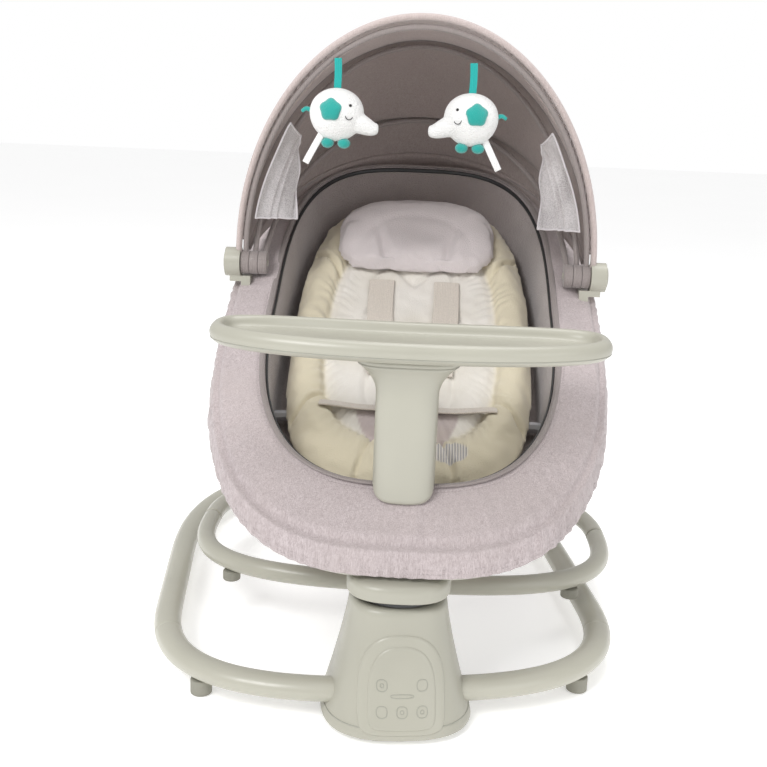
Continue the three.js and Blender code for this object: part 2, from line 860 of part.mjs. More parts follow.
// The cover: from the hem it wraps the rim, crosses the band to the inner binding, drops
// inside and closes as the floor under the liner. It is one sheet of even thickness.
function seatCover() {
  const count = 36;
  const { bandWidth, bandCrown, clothThickness: t, hemDrop } = seat;
  const wrap = (inset, drop) =>
    ring(count, (angle) => {
      const [x, y] = planOval(seatPlan, inset, angle);
      const [, outerY] = planOval(seatPlan, 0, angle);
      return vec(x, y, seatTopZ(outerY) - drop);
    });
  const band = (inset, lift) =>
    ring(count, (angle) => {
      const [x, y] = planOval(seatPlan, inset, angle);
      const [, outerY] = planOval(seatPlan, 0, angle);
      const edgeZ = seatTopZ(Math.max(y, outerY));
      return vec(x, y, edgeZ + (bandCrown * inset) / bandWidth + lift);
    });
  const floor = (inset, lift) =>
    ring(count, (angle) => {
      const [x, y] = planOval(seatPlan, inset, angle);
      return vec(x, y, Math.min(seatFloorZ(y), seatTopZ(y)) + lift);
    });
  const half = bandWidth / 2;
  const wall = 20; // how far the inner wall drops before it turns into the floor
  const underFace = [
    floor(200, -t),
    floor(150, -t),
    floor(bandWidth + 26, -t),
    floor(bandWidth + 11, 8),
    band(bandWidth + 4, -wall),
    band(bandWidth - t, -t),
    band(half + 2, -t),
    wrap(12, t - 1),
    wrap(t + 1.4, 12),
    wrap(t, rim.drop),
  ];
  const hem = [wrap(t + 2, hemDrop), wrap(2, hemDrop)];
  const upperFace = [
    wrap(0, rim.drop),
    wrap(1.4, 11),
    wrap(9, -1),
    band(half, 0),
    band(bandWidth - 4, 1),
    band(bandWidth + 1, -t),
    band(bandWidth + 8, -wall),
    floor(bandWidth + 15, 10),
    floor(bandWidth + 28, 0),
    floor(150, 0),
    floor(200, 0),
  ];
  return loft([...underFace, ...hem, ...upperFace]);
}

// A pad that follows the liner's face between two depths of the seat.
function linerPad(fromY, toY, halfWidthAt, top, bottom, rows, columns) {
  const grid = (lift, shrink) =>
    Array.from({ length: rows }, (_, i) => {
      const y = fromY + ((toY - fromY) * i) / (rows - 1);
      return Array.from({ length: columns }, (_, j) => {
        const x = (halfWidthAt(y) - shrink) * ((2 * j) / (columns - 1) - 1);
        return vec(x, y, linerZ(y) + lift);
      });
    });
  return sheet(grid(top, 4), grid(bottom, 0));
}

const linerHalfWidth = (y) => {
  const middle = (liner.frontY + liner.rearY) / 2;
  const reach = (liner.rearY - liner.frontY) / 2;
  const share = Math.abs((y - middle) / reach);
  return liner.halfWidth * (1 - liner.endTaper * share ** liner.endSharpness);
};

function buildSoftSeat() {
  const group = new THREE.Group();
  const stemHoles = sides.map(([, sign]) => hingeStem(sign, clothGap));
  const tongueHole = box(
    [-tongue.halfWidth - clothGap, tongue.halfWidth + clothGap],
    [tongue.y - tongue.halfDepth - clothGap, tongue.y + tongue.halfDepth + clothGap],
    [tongue.bottomZ + 20, tongue.bottomZ + 90],
  );
  add(
    group,
    "seat_cover",
    "melange",
    cut(seatCover(), ...stemHoles, tongueHole, reclineBarGeometry(clothGap)),
  );
  const seatEnd = liner.splitY - liner.splitGap / 2;
  add(
    group,
    "liner_seat",
    "liner",
    linerPad(liner.frontY, seatEnd, linerHalfWidth, 0, -liner.thickness, 6, 7),
  );
  const webbing = (fromY, toY, halfWidth) =>
    linerPad(
      fromY,
      toY,
      () => halfWidth,
      clothGap + strap.thickness,
      clothGap,
      4,
      2,
    );
  add(
    group,
    "lower_harness",
    "webbing",
    join(
      webbing(buckle.y - buckle.halfLength - strap.crotchReach, buckle.y + 6, strap.halfWidth),
      webbing(buckle.y - 10, buckle.y + 10, strap.waistReach),
    ),
  );
  return group;
}

function buildLinerBack() {
  const group = new THREE.Group();
  const start = liner.splitY + liner.splitGap / 2;
  add(
    group,
    "liner_back",
    "liner",
    linerPad(start, liner.rearY, linerHalfWidth, 0, -liner.thickness, 9, 7),
  );
  const pillowBottom = clothGap;
  const rows = 7;
  const pillowAt = (lift) =>
    Array.from({ length: rows }, (_, i) => {
      const across = -1 + (2 * i) / (rows - 1);
      return Array.from({ length: rows }, (_, j) => {
        const along = -1 + (2 * j) / (rows - 1);
        const x = pillow.halfWidth * across * (1 - 0.12 * along ** 4);
        const y = pillow.y - pillow.halfLength * along * (1 - 0.3 * across ** 4);
        const edge = Math.max(Math.abs(across), Math.abs(along));
        const crown = lift * (1 - pillow.edgeShare * edge ** 4);
        return vec(x, y, linerZ(y) + pillowBottom + crown);
      });
    });
  add(group, "head_pillow", "pillow", sheet(pillowAt(pillow.thickness), pillowAt(0)));
  for (const [side, sign] of sides) {
    const fromY = buckle.y + buckle.halfLength + 2 * strap.halfWidth;
    const toY = pillow.y - pillow.halfLength - 3;
    const shoulder = linerPad(
      fromY,
      toY,
      () => strap.halfWidth,
      clothGap + strap.thickness,
      clothGap,
      4,
      2,
    ).translate(sign * strap.shoulderX, 0, 0);
    add(group, "shoulder_strap_" + side, "webbing", shoulder);
  }
  return group;
}

function buildBuckle(frame, button) {
  const z = linerZ(buckle.y);
  const tilt = Math.atan(liner.slope);
  const bottom = clothGap + buckle.lift;
  const top = bottom + buckle.thickness;
  const place = (geometry) => geometry.rotateX(tilt).translate(0, buckle.y, z);
  const rounded = (halfWidth, halfLength, from, to) =>
    loft(
      [from, to].map((height) =>
        ring(20, (angle) => {
          const [x, y] = ovalPoint(halfWidth, halfLength, 4, angle);
          return vec(x, y, height);
        }),
      ),
    );
  const body = rounded(buckle.halfWidth, buckle.halfLength, bottom, top);
  const pocketFloor = top - buckle.pocketDepth;
  const { buttonRadius, buttonProud } = buckle;
  const bore = buttonRadius + runningGap;
  const pocket = rounded(bore, bore, pocketFloor, top + buckle.pocketDepth);
  add(frame, "harness_buckle", "darkPlastic", place(cut(body, pocket)));
  const cap = rounded(
    buttonRadius,
    buttonRadius,
    pocketFloor + buckle.pocketDepth / 2,
    top + buttonProud,
  );
  add(button, "buckle_button", "darkPlastic", place(cap));
}

// ---------------------------------------------------------------- hood

// The part of a hood hinge that goes through the cover and stands on the rim.
function hingeStem(sign, grow = 0) {
  const [rimX] = planOval(seatPlan, rim.inset, radians(rimSeam));
  const topOfRim = seatTopZ(hood.hingeY) - rim.drop + rim.halfHeight;
  const halfWidth = hinge.stemHalfWidth + grow;
  const halfDepth = hinge.stemHalfDepth + grow;
  return box(
    [sign * rimX - halfWidth, sign * rimX + halfWidth],
    [hood.hingeY - halfDepth, hood.hingeY + halfDepth],
    [topOfRim - 8 - grow, hingeArmZ[1]],
  );
}

// The arm from the stem out under the barrel, and its rise into the barrel.
function hingeArm(sign) {
  const [rimX] = planOval(seatPlan, rim.inset, radians(rimSeam));
  const outerX = hood.barrelOuterX - 6;
  const across = (from, to) => (sign > 0 ? [from, to] : [-to, -from]);
  const ys = [hood.hingeY - hinge.stemHalfDepth, hood.hingeY + hinge.stemHalfDepth];
  return join(
    box(across(rimX - hinge.stemHalfWidth, outerX), ys, hingeArmZ),
    box(across(hood.barrelInnerX + 1, outerX), ys, [hingeArmZ[0], hood.hingeZ - 8]),
  );
}

// One barrel of a hinge, about the hood's axis, from one X to another.
function barrel(fromX, toX, radius, bore) {
  const length = Math.abs(toX - fromX);
  const profile = [
    [bore, 0],
    [radius, 0],
    [radius, length],
    [bore, length],
    [bore, 0],
  ];
  return latheAlongX(profile, 16).translate(Math.min(fromX, toX), hood.hingeY, hood.hingeZ);
}

const hubX = (place) => {
  const outer = hood.barrelInnerX - gap - place * (hood.hubWidth + gap);
  return [outer - hood.hubWidth, outer];
};
const bowHalfWidth = (place) => (hubX(place)[0] + hubX(place)[1]) / 2;

// A wire bow with its two hubs. Place 0 is the outermost hub.
function bow(place, lean) {
  const halfWidth = bowHalfWidth(place);
  const startWay = THREE.MathUtils.radToDeg(
    Math.asin((hood.hubRadius - 3) / hood.bowHeight),
  );
  const count = 20;
  const points = Array.from({ length: count + 1 }, (_, i) =>
    hoodPoint(halfWidth, hood.bowHeight, startWay + ((180 - 2 * startWay) * i) / count, lean),
  );
  const hubs = sides.map(([, sign]) => {
    const [inner, outer] = hubX(place);
    return barrel(sign * inner, sign * outer, hood.hubRadius, hood.pinRadius + runningGap);
  });
  return join(tube(points, hood.bowRadius, hood.bowRadius, 24, 6), ...hubs);
}

// A gore of the hood's shell between two leans. Step 0 is the innermost of the nested gores.
function gore(step, fromLean, toLean) {
  const inset = hood.shellStep * step;
  const rows = 5;
  const columns = 15;
  const startWay = THREE.MathUtils.radToDeg(Math.asin(hood.shellStart / hood.shellHeight));
  const grid = (grow) =>
    Array.from({ length: rows }, (_, i) =>
      Array.from({ length: columns }, (_, j) =>
        hoodPoint(
          hood.shellHalfWidth + inset + grow,
          hood.shellHeight + inset + grow,
          startWay + ((180 - 2 * startWay) * j) / (columns - 1),
          fromLean + ((toLean - fromLean) * i) / (rows - 1),
        ),
      ),
    );
  return sheet(grid(hood.shellThickness), grid(0));
}

// A side curtain of net inside the hood's front, hung from the front bow.
function netCurtain(sign) {
  const rows = 4;
  const columns = 6;
  const grid = (grow) =>
    Array.from({ length: rows }, (_, i) =>
      Array.from({ length: columns }, (_, j) => {
        const way = net.lowWay + ((net.highWay - net.lowWay) * j) / (columns - 1);
        const lean = net.fromAngle + ((net.toAngle - net.fromAngle) * i) / (rows - 1);
        return hoodPoint(net.halfWidth + grow, net.height + grow, way, lean);
      }),
    );
  const left = sheet(grid(net.thickness), grid(0));
  return sign < 0 ? left : flipX(left);
}

// A mirror image across the seat's middle, its faces turned back outwards.
function flipX(geometry) {
  const flipped = geometry.clone().scale(-1, 1, 1);
  const order = flipped.index.array;
  for (let i = 0; i < order.length; i += 3) {
    [order[i + 1], order[i + 2]] = [order[i + 2], order[i + 1]];
  }
  return flipped;
}

function buildHood(fixed, middle, front) {
  for (const [side, sign] of sides) {
    const [inner] = hubX(2);
    const fixedHalf = join(
      barrel(sign * hood.barrelInnerX, sign * hood.barrelOuterX, hood.barrelRadius, 0),
      barrel(sign * (inner - 1), sign * (hood.barrelInnerX + 2), hood.pinRadius, 0),
      hingeStem(sign),
      hingeArm(sign),
    );
    add(fixed, "hood_hinge_" + side, "shell", cut(fixedHalf, rimFront(gap), rimRear(gap)));
  }
  const { frontAngle, midAngle, rearAngle, hemAngle } = hood;
  const seam = 0.3;
  add(fixed, "rear_bow", "steel", bow(2, rearAngle));
  add(fixed, "hood_rear_panel", "melange", gore(0, rearAngle - seam, hemAngle));
  add(middle, "middle_bow", "steel", bow(1, midAngle));
  add(middle, "hood_middle_gore", "melange", gore(1, midAngle - seam, rearAngle + seam));
  add(front, "front_bow", "steel", bow(0, frontAngle));
  add(front, "hood_front_gore", "melange", gore(2, frontAngle, midAngle + seam));
  for (const [side, sign] of sides) {
    add(front, "net_curtain_" + side, "net", netCurtain(sign));
  }
}

function buildToy(front, side, x) {
  const group = new THREE.Group();
  const trunkSign = x < 0 ? 1 : -1;
  const body = new THREE.SphereGeometry(toy.radius, 12, 8)
    .scale(1, toy.halfDepth / toy.radius, toy.flatness)
    .translate(x, toy.dropY, toy.z);
  const trunkX = x + trunkSign * (toy.radius + toy.trunkRadius);
  const trunk = new THREE.CapsuleGeometry(toy.trunkRadius, toy.trunkLength, 3, 8)
    .rotateZ(Math.PI / 2)
    .translate(trunkX, toy.dropY, toy.z - toy.trunkDrop);
  add(group, "toy_elephant_" + side, "plush", join(body, trunk));
  const ribbonBottom = toy.z + toy.radius;
  add(
    group,
    "toy_ribbon_" + side,
    "teal",
    box(
      [x - ribbon.halfWidth, x + ribbon.halfWidth],
      [toy.dropY - ribbon.thickness / 2, toy.dropY + ribbon.thickness / 2],
      [ribbonBottom, ribbon.topZ],
    ),
  );
  front.add(group);
}

// ---------------------------------------------------------------- tray

function trayRing(z, inset) {
  const centreY = (tray.frontY + tray.rearY) / 2;
  const halfDepth = (tray.rearY - tray.frontY) / 2;
  return ring(40, (angle) => {
    const [x, y] = ovalPoint(tray.halfWidth - inset, halfDepth - inset, tray.squareness, angle);
    return vec(x, y + centreY + tray.bow * (x / tray.halfWidth) ** 2, z);
  });
}

function trayTop() {
  const { bottomZ, rimZ, floorZ, rimWidth } = tray;
  return loft([
    trayRing(bottomZ, 16),
    trayRing(bottomZ + 4, 4),
    trayRing((bottomZ + rimZ) / 2, 0),
    trayRing(rimZ - 3, 2),
    trayRing(rimZ, rimWidth / 2 - 2),
    trayRing(rimZ - 2, rimWidth - 4),
    trayRing(floorZ, rimWidth),
  ]);
}

function buildTray(trayGroup, releaseGroup, frame) {
  add(trayGroup, "tray_top", "shell", trayTop());
  const topZ = tray.bottomZ - gap;
  const level = (zAt, halfWidth, halfDepth) =>
    ring(28, (angle) => {
      const [x, y] = ovalPoint(halfWidth, halfDepth, post.squareness, angle);
      return vec(x, y + post.centreY, zAt(y + post.centreY));
    });
  const overCover = (y) =>
    seatTopZ(y) + (seat.bandCrown * (y - seat.frontY)) / seat.bandWidth + clothGap + 1;
  const { halfWidth, halfDepth, collarHalfWidth, collarHalfDepth } = post;
  const flareHeight = 34;
  const flare = [0, 0.3, 0.6, 1].map((share) => {
    const spread = (1 - share) ** 2.2;
    return level(
      () => topZ - 6 - share * flareHeight,
      halfWidth + (collarHalfWidth - halfWidth) * spread,
      halfDepth + (collarHalfDepth - halfDepth) * spread,
    );
  });
  const column = loft([
    level(overCover, halfWidth - 4, halfDepth - 3),
    level((y) => overCover(y) + 7, halfWidth, halfDepth),
    ...flare.reverse(),
    level(() => topZ, collarHalfWidth, collarHalfDepth),
  ]);
  const tongueBar = box(
    [-tongue.halfWidth, tongue.halfWidth],
    [tongue.y - tongue.halfDepth, tongue.y + tongue.halfDepth],
    [tongue.bottomZ, release.z - 40],
  );
  const rearFaceY = post.centreY + halfDepth;
  const buttonHole = box(
    [-release.halfWidth - runningGap, release.halfWidth + runningGap],
    [rearFaceY - release.depth - 3, rearFaceY + 20],
    [release.z - release.halfHeight - runningGap, release.z + release.halfHeight + runningGap],
  );
  add(trayGroup, "tray_post", "shell", cut(join(column, tongueBar), buttonHole));
  add(
    releaseGroup,
    "tray_release_button",
    "panel",
    box(
      [-release.halfWidth, release.halfWidth],
      [rearFaceY - release.depth, rearFaceY + release.proud],
      [release.z - release.halfHeight, release.z + release.halfHeight],
    ),
  );
  const { wall, bottomZ } = socket;
  const inner = [tongue.halfWidth + runningGap, tongue.halfDepth + runningGap];
  const socketTop = tongue.bottomZ + 18;
  add(
    frame,
    "tray_socket",
    "shell",
    cut(
      box(
        [-inner[0] - wall, inner[0] + wall],
        [tongue.y - inner[1] - wall, tongue.y + inner[1] + wall],
        [bottomZ, socketTop],
      ),
      box(
        [-inner[0], inner[0]],
        [tongue.y - inner[1], tongue.y + inner[1]],
        [tongue.bottomZ - 2, socketTop + 10],
      ),
    ),
  );
}

// ---------------------------------------------------------------- assembly

const swing = new THREE.Group();
swing.add(buildBase());

const seatUnit = buildSeatFrame();
add(seatUnit, "recline_bar", "steel", reclineBarGeometry());
seatUnit.add(buildSoftSeat(), buildBackrest(), buildLinerBack());
const hoodMiddle = new THREE.Group();
const hoodFront = new THREE.Group();
buildHood(seatUnit, hoodMiddle, hoodFront);
buildToy(hoodFront, "left", toy.leftX);
buildToy(hoodFront, "right", toy.rightX);
const trayGroup = new THREE.Group();
const releaseGroup = new THREE.Group();
buildTray(trayGroup, releaseGroup, seatUnit);
const buckleButton = new THREE.Group();
buildBuckle(seatUnit, buckleButton);
seatUnit.add(hoodMiddle, hoodFront, trayGroup, releaseGroup, buckleButton);
swing.add(seatUnit);

export default swing;
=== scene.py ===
"""Looks of an electric baby swing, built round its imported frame.

Everything is in metres in the frame of the part: the origin is on the floor on the swing
shaft's axis, +Z is up and the child faces -Y.
"""

import logging
import math
from collections.abc import Callable
from dataclasses import dataclass
from enum import Enum

import bmesh
import bpy
import numpy as np
from mathutils import Matrix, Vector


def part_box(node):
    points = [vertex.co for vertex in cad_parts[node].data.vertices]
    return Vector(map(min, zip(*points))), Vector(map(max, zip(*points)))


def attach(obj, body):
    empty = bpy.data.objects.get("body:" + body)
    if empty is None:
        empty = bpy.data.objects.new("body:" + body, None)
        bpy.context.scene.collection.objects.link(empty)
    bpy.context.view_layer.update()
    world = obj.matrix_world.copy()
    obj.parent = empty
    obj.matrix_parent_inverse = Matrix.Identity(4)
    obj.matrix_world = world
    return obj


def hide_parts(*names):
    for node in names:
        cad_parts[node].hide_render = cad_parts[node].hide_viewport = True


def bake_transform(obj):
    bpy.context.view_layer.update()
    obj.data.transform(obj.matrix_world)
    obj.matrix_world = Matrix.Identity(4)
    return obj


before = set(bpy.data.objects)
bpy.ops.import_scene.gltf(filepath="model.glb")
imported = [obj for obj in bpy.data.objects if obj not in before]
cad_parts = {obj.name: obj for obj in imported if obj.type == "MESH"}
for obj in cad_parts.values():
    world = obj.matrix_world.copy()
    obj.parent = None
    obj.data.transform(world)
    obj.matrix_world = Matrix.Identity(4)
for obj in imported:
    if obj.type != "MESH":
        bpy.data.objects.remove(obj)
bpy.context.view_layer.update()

LOG = logging.getLogger("baby_swing")
X_AXIS = np.array([1.0, 0.0, 0.0])
Y_AXIS = np.array([0.0, 1.0, 0.0])
Z_AXIS = np.array([0.0, 0.0, 1.0])
FULL_TURN = 2 * math.pi


class Side(Enum):
    """The child's two sides, by the sign of X."""

    LEFT = -1
    RIGHT = 1

    @property
    def word(self) -> str:
        """The side's name as node names write it."""
        return self.name.lower()


# ------------------------------------------------------------------ curves and surfaces


def oval(half_x: float, half_y: float, squareness: float, angle: np.ndarray) -> tuple:
    """Points of a rounded oval: cosine and sine to the power 2/n, times the half lengths.

    Args:
        half_x: half length along X.
        half_y: half length along Y.
        squareness: 2 for an ellipse, more for a squarer outline.
        angle: angles in radians.

    Returns:
        The X and the Y of the points.
    """
    c, s = np.cos(angle), np.sin(angle)
    power = 2 / squareness
    return np.sign(c) * half_x * np.abs(c) ** power, np.sign(s) * half_y * np.abs(s) ** power


def oval_ring(
    half_x: float, half_y: float, squareness: float, z: float, count: int, centre_y: float = 0.0
) -> np.ndarray:
    """A level ring of points on a rounded oval, at equal steps of its length."""
    angle = even_angles(lambda a: oval(half_x, half_y, squareness, a), count)
    x, y = oval(half_x, half_y, squareness, angle)
    return np.stack([x, y + centre_y, np.full(count, z)], -1)


def even_angles(
    outline: Callable, count: int, start: float = 0.0, end: float = FULL_TURN
) -> np.ndarray:
    """Angles that cut an outline into equal lengths.

    Args:
        outline: gives X and Y for an array of angles.
        count: how many angles are wanted.
        start: first angle.
        end: last angle. A full turn leaves its own last angle out.

    Returns:
        The angles, in radians.
    """
    dense = np.linspace(start, end, 30001)
    x, y = outline(dense)
    length = np.concatenate([[0], np.cumsum(np.hypot(np.diff(x), np.diff(y)))])
    whole = abs(end - start - FULL_TURN) < 1e-9
    return np.interp(np.linspace(0, length[-1], count, endpoint=not whole), length, dense)


@dataclass(frozen=True)
class PlanOval:
    """A floor-plan outline whose front and rear halves have their own depth and squareness."""

    half_width: float
    front_y: float
    front_centre: float
    rear_centre: float
    rear_y: float
    front_square: float
    rear_square: float

    def at(self, angle: np.ndarray, inset: float = 0.0) -> tuple:
        """X and Y at an angle, with the outline's half lengths made shorter by inset."""
        front = np.sin(angle) < 0
        centre = np.where(front, self.front_centre, self.rear_centre)
        depth = np.where(front, centre - self.front_y, self.rear_y - centre) - inset
        power = 2 / np.where(front, self.front_square, self.rear_square)
        c, s = np.cos(angle), np.sin(angle)
        x = np.sign(c) * (self.half_width - inset) * np.abs(c) ** power
        return x, centre + np.sign(s) * depth * np.abs(s) ** power

    def angle_at(self, y: float) -> float:
        """The angle at which the right side reaches a Y, from -90 degrees at the front."""
        front = y < (self.front_centre + self.rear_centre) / 2
        centre = self.front_centre if front else self.rear_centre
        depth = centre - self.front_y if front else self.rear_y - centre
        square = self.front_square if front else self.rear_square
        share = np.clip(abs(y - centre) / depth, 0, 1) ** (square / 2)
        return -math.asin(share) if front else math.asin(share)


def through_rings(keys: np.ndarray, rows: int) -> np.ndarray:
    """Passes a Catmull-Rom spline through a stack of key rings, point by point.

    Args:
        keys: rings of points, shape (keys, columns, 3).
        rows: how many rings come out.

    Returns:
        The finer stack, shape (rows, columns, 3).
    """
    t = np.linspace(0, len(keys) - 1, rows)
    i = np.minimum(t.astype(int), len(keys) - 2)
    f = (t - i)[:, None, None]
    a, b = keys[np.maximum(i - 1, 0)], keys[i]
    c, d = keys[i + 1], keys[np.minimum(i + 2, len(keys) - 1)]
    cubic = (2 * a - 5 * b + 4 * c - d) * f**2 + (3 * b - a - 3 * c + d) * f**3
    return 0.5 * (2 * b + (c - a) * f + cubic)


def unit(vectors: np.ndarray) -> np.ndarray:
    """Vectors made one long."""
    return vectors / np.maximum(np.linalg.norm(vectors, axis=-1, keepdims=True), 1e-12)


def grid_normals(points: np.ndarray, wrap: bool) -> np.ndarray:
    """Normals of a grid: the cross product of its steps along rows and along columns.

    Args:
        points: the grid, shape (rows, columns, 3).
        wrap: whether the last column meets the first.

    Returns:
        Unit normals of the same shape.
    """
    along = np.gradient(points, axis=0)
    if wrap:
        across = np.roll(points, -1, 1) - np.roll(points, 1, 1)
    else:
        across = np.gradient(points, axis=1)
    return unit(np.cross(across, along))


def swept(
    path: np.ndarray,
    half_a: float | np.ndarray,
    half_b: float | np.ndarray,
    sides: int,
    reference: np.ndarray,
) -> np.ndarray:
    """Carries an oval section along a path.

    Each ring is the path's point plus a cosine times the side vector and a sine times the up
    vector. The side vector is square to the path and to the reference.

    Args:
        path: points of the path, shape (n, 3).
        half_a: half length of the section along its side vector, one value or one a point.
        half_b: half length along its up vector.
        sides: points in each ring.
        reference: the direction that the section's up vector follows.

    Returns:
        The rings, shape (n, sides, 3).
    """
    tangent = unit(np.gradient(path, axis=0))
    side = unit(np.cross(tangent, reference))
    up = np.cross(side, tangent)
    angle = np.linspace(0, FULL_TURN, sides, endpoint=False)[None, :, None]
    a = np.broadcast_to(half_a, len(path))[:, None, None]
    b = np.broadcast_to(half_b, len(path))[:, None, None]
    return path[:, None] + a * np.cos(angle) * side[:, None] + b * np.sin(angle) * up[:, None]


def with_ends(rings: np.ndarray, bevel: float, radius: float) -> np.ndarray:
    """Closes a stack of rings at both ends with a flat face and a small rounded edge.

    Args:
        rings: the stack, shape (rows, columns, 3).
        bevel: size of the rounded edge.
        radius: rough radius of the end rings.

    Returns:
        The stack with three more rings at each end, the outermost drawn to a point.
    """
    centre = rings.mean(axis=1, keepdims=True)
    lead = unit(centre[:1] - centre[1:2])
    tail = unit(centre[-1:] - centre[-2:-1])
    shrink = np.array([0.0, 1 - bevel / radius, 1 - 0.3 * bevel / radius])[:, None, None]
    out = np.array([1.0, 1.0, 0.7])[:, None, None] * bevel
    head = centre[:1] + (rings[:1] - centre[:1]) * shrink + lead * out
    foot = centre[-1:] + (rings[-1:] - centre[-1:]) * shrink[::-1] + tail * out[::-1]
    return np.concatenate([head, rings, foot])


def turned(profile: np.ndarray, sides: int = 48) -> np.ndarray:
    """Turns a profile of radius and height about the Z axis.

    Args:
        profile: radius and height of each level, shape (levels, 2).
        sides: points in each ring.

    Returns:
        The rings, shape (levels, sides, 3).
    """
    angle = np.linspace(0, FULL_TURN, sides, endpoint=False)
    radius, height = profile[:, :1], profile[:, 1:]
    flat = [radius * np.cos(angle), radius * np.sin(angle), height + 0 * angle]
    return np.stack(flat, -1)


def rounded_profile(radius: float, low: float, high: float, edge: float) -> np.ndarray:
    """Profile of a drum with quarter-round edges, from its axis below to its axis above."""
    quarter = np.linspace(0, math.pi / 2, 6)
    bottom = np.stack([radius - edge + edge * np.sin(quarter), low + edge - edge * np.cos(quarter)], -1)
    top = np.stack([radius - edge + edge * np.cos(quarter), high - edge + edge * np.sin(quarter)], -1)
    return np.concatenate([[[0, low]], bottom, top, [[0, high]]])


def laid_along_x(points: np.ndarray) -> np.ndarray:
    """Lays a shape that was turned about Z along X instead."""
    return np.stack([points[..., 2], points[..., 1], -points[..., 0]], -1)


def waves(points: np.ndarray, length: float, seed: int) -> np.ndarray:
    """A smooth random field between about -1 and 1: eight sine waves in random directions.

    Args:
        points: places, shape (..., 3).
        length: rough wavelength.
        seed: which field.

    Returns:
        One value for each place.
    """
    rng = np.random.default_rng(seed)
    direction = unit(rng.normal(size=(8, 3))) * (FULL_TURN / length) * rng.uniform(0.6, 1.5, (8, 1))
    phase = rng.uniform(0, FULL_TURN, 8)
    return np.sin(points @ direction.T + phase).mean(-1) * 1.6


def groove(distance: np.ndarray, width: float) -> np.ndarray:
    """A dent that is 1 on a line and fades to nothing over a width: a bell curve."""
    return np.exp(-((distance / width) ** 2))


def smooth_step(low: float, high: float, value: np.ndarray) -> np.ndarray:
    """Rises from 0 at low to 1 at high along the curve 3t squared minus 2t cubed."""
    t = np.clip((value - low) / (high - low), 0, 1)
    return t * t * (3 - 2 * t)


def grid_faces(rows: int, columns: int, wrap_rows: bool, wrap_columns: bool) -> np.ndarray:
    """Quads of a grid of points that are numbered row by row."""
    i = np.arange(rows if wrap_rows else rows - 1)
    j = np.arange(columns if wrap_columns else columns - 1)
    low, left = np.meshgrid(i, j, indexing="ij")
    high, right = (low + 1) % rows, (left + 1) % columns
    corners = [low * columns + left, low * columns + right, high * columns + right, high * columns + left]
    return np.stack(corners, -1).reshape(-1, 4)


class Shape:
    """A mesh in the making: grids of points that become one object."""

    def __init__(self) -> None:
        """Starts with no points."""
        self._points: list[np.ndarray] = []
        self._faces: list[np.ndarray] = []
        self._slots: list[np.ndarray] = []
        self._count = 0

    def grid(
        self,
        points: np.ndarray,
        wrap_rows: bool = False,
        wrap_columns: bool = False,
        slot: int | np.ndarray = 0,
    ) -> "Shape":
        """Adds one grid.

        Args:
            points: the grid, shape (rows, columns, 3).
            wrap_rows: whether the last row meets the first.
            wrap_columns: whether the last column meets the first.
            slot: material slot, one for all or one for each row of faces.

        Returns:
            The shape itself.
        """
        rows, columns = points.shape[:2]
        faces = grid_faces(rows, columns, wrap_rows, wrap_columns)
        self._points.append(points.reshape(-1, 3))
        self._faces.append(faces + self._count)
        bands = rows if wrap_rows else rows - 1
        per_band = np.broadcast_to(slot, bands)
        self._slots.append(np.repeat(per_band, len(faces) // bands))
        self._count += rows * columns
        return self

    def copies(self, points: np.ndarray, slot: int = 0) -> "Shape":
        """Adds many like grids at once, each with wrapped columns: shape (n, rows, columns, 3)."""
        many, rows, columns = points.shape[:3]
        faces = grid_faces(rows, columns, False, True)
        shift = np.arange(many)[:, None, None] * rows * columns + self._count
        self._points.append(points.reshape(-1, 3))
        self._faces.append((faces[None] + shift).reshape(-1, 4))
        self._slots.append(np.full(many * len(faces), slot))
        self._count += many * rows * columns
        return self

    def build(self, name: str, *materials: bpy.types.Material, closed: bool = True) -> bpy.types.Object:
        """Makes the object: welds its seams and turns its faces outwards.

        Args:
            name: the piece's name.
            materials: its material slots.
            closed: whether the shape is closed, so that its faces can be turned outwards.

        Returns:
            The object, at the origin.
        """
        points = np.concatenate(self._points)
        faces = np.concatenate(self._faces)
        mesh = bpy.data.meshes.new(name)
        mesh.from_pydata(points.tolist(), [], faces.tolist())
        mesh.polygons.foreach_set("material_index", np.concatenate(self._slots).astype(np.int32))
        for material in materials:
            mesh.materials.append(material)
        work = bmesh.new()
        work.from_mesh(mesh)
        bmesh.ops.remove_doubles(work, verts=work.verts, dist=2e-6)
        bmesh.ops.dissolve_degenerate(work, edges=work.edges, dist=1e-7)
        if closed:
            bmesh.ops.recalc_face_normals(work, faces=work.faces)
        work.to_mesh(mesh)
        work.free()
        mesh.polygons.foreach_set("use_smooth", np.ones(len(mesh.polygons), bool))
        thing = bpy.data.objects.new(name, mesh)
        bpy.context.scene.collection.objects.link(thing)
        keep_cloth_places(thing)
        return thing


def vertex_array(thing: bpy.types.Object) -> np.ndarray:
    """The places of an object's vertices, shape (n, 3)."""
    flat = np.zeros(len(thing.data.vertices) * 3)
    thing.data.vertices.foreach_get("co", flat)
    return flat.reshape(-1, 3)


def move_vertices(thing: bpy.types.Object, points: np.ndarray) -> None:
    """Puts an object's vertices at new places."""
    thing.data.vertices.foreach_set("co", points.ravel())
    thing.data.update()


def keep_cloth_places(thing: bpy.types.Object) -> None:
    """Writes each vertex's rest place into the attribute that cloth patterns read."""
    mesh = thing.data
    layer = mesh.attributes.get("cloth") or mesh.attributes.new("cloth", "FLOAT_VECTOR", "POINT")
    layer.data.foreach_set("vector", vertex_array(thing).ravel())


def paint_mask(thing: bpy.types.Object, name: str, values: np.ndarray) -> None:
    """Writes one number for each vertex into a named attribute."""
    layer = thing.data.attributes.new(name, "FLOAT", "POINT")
    layer.data.foreach_set("value", values.astype(np.float32))


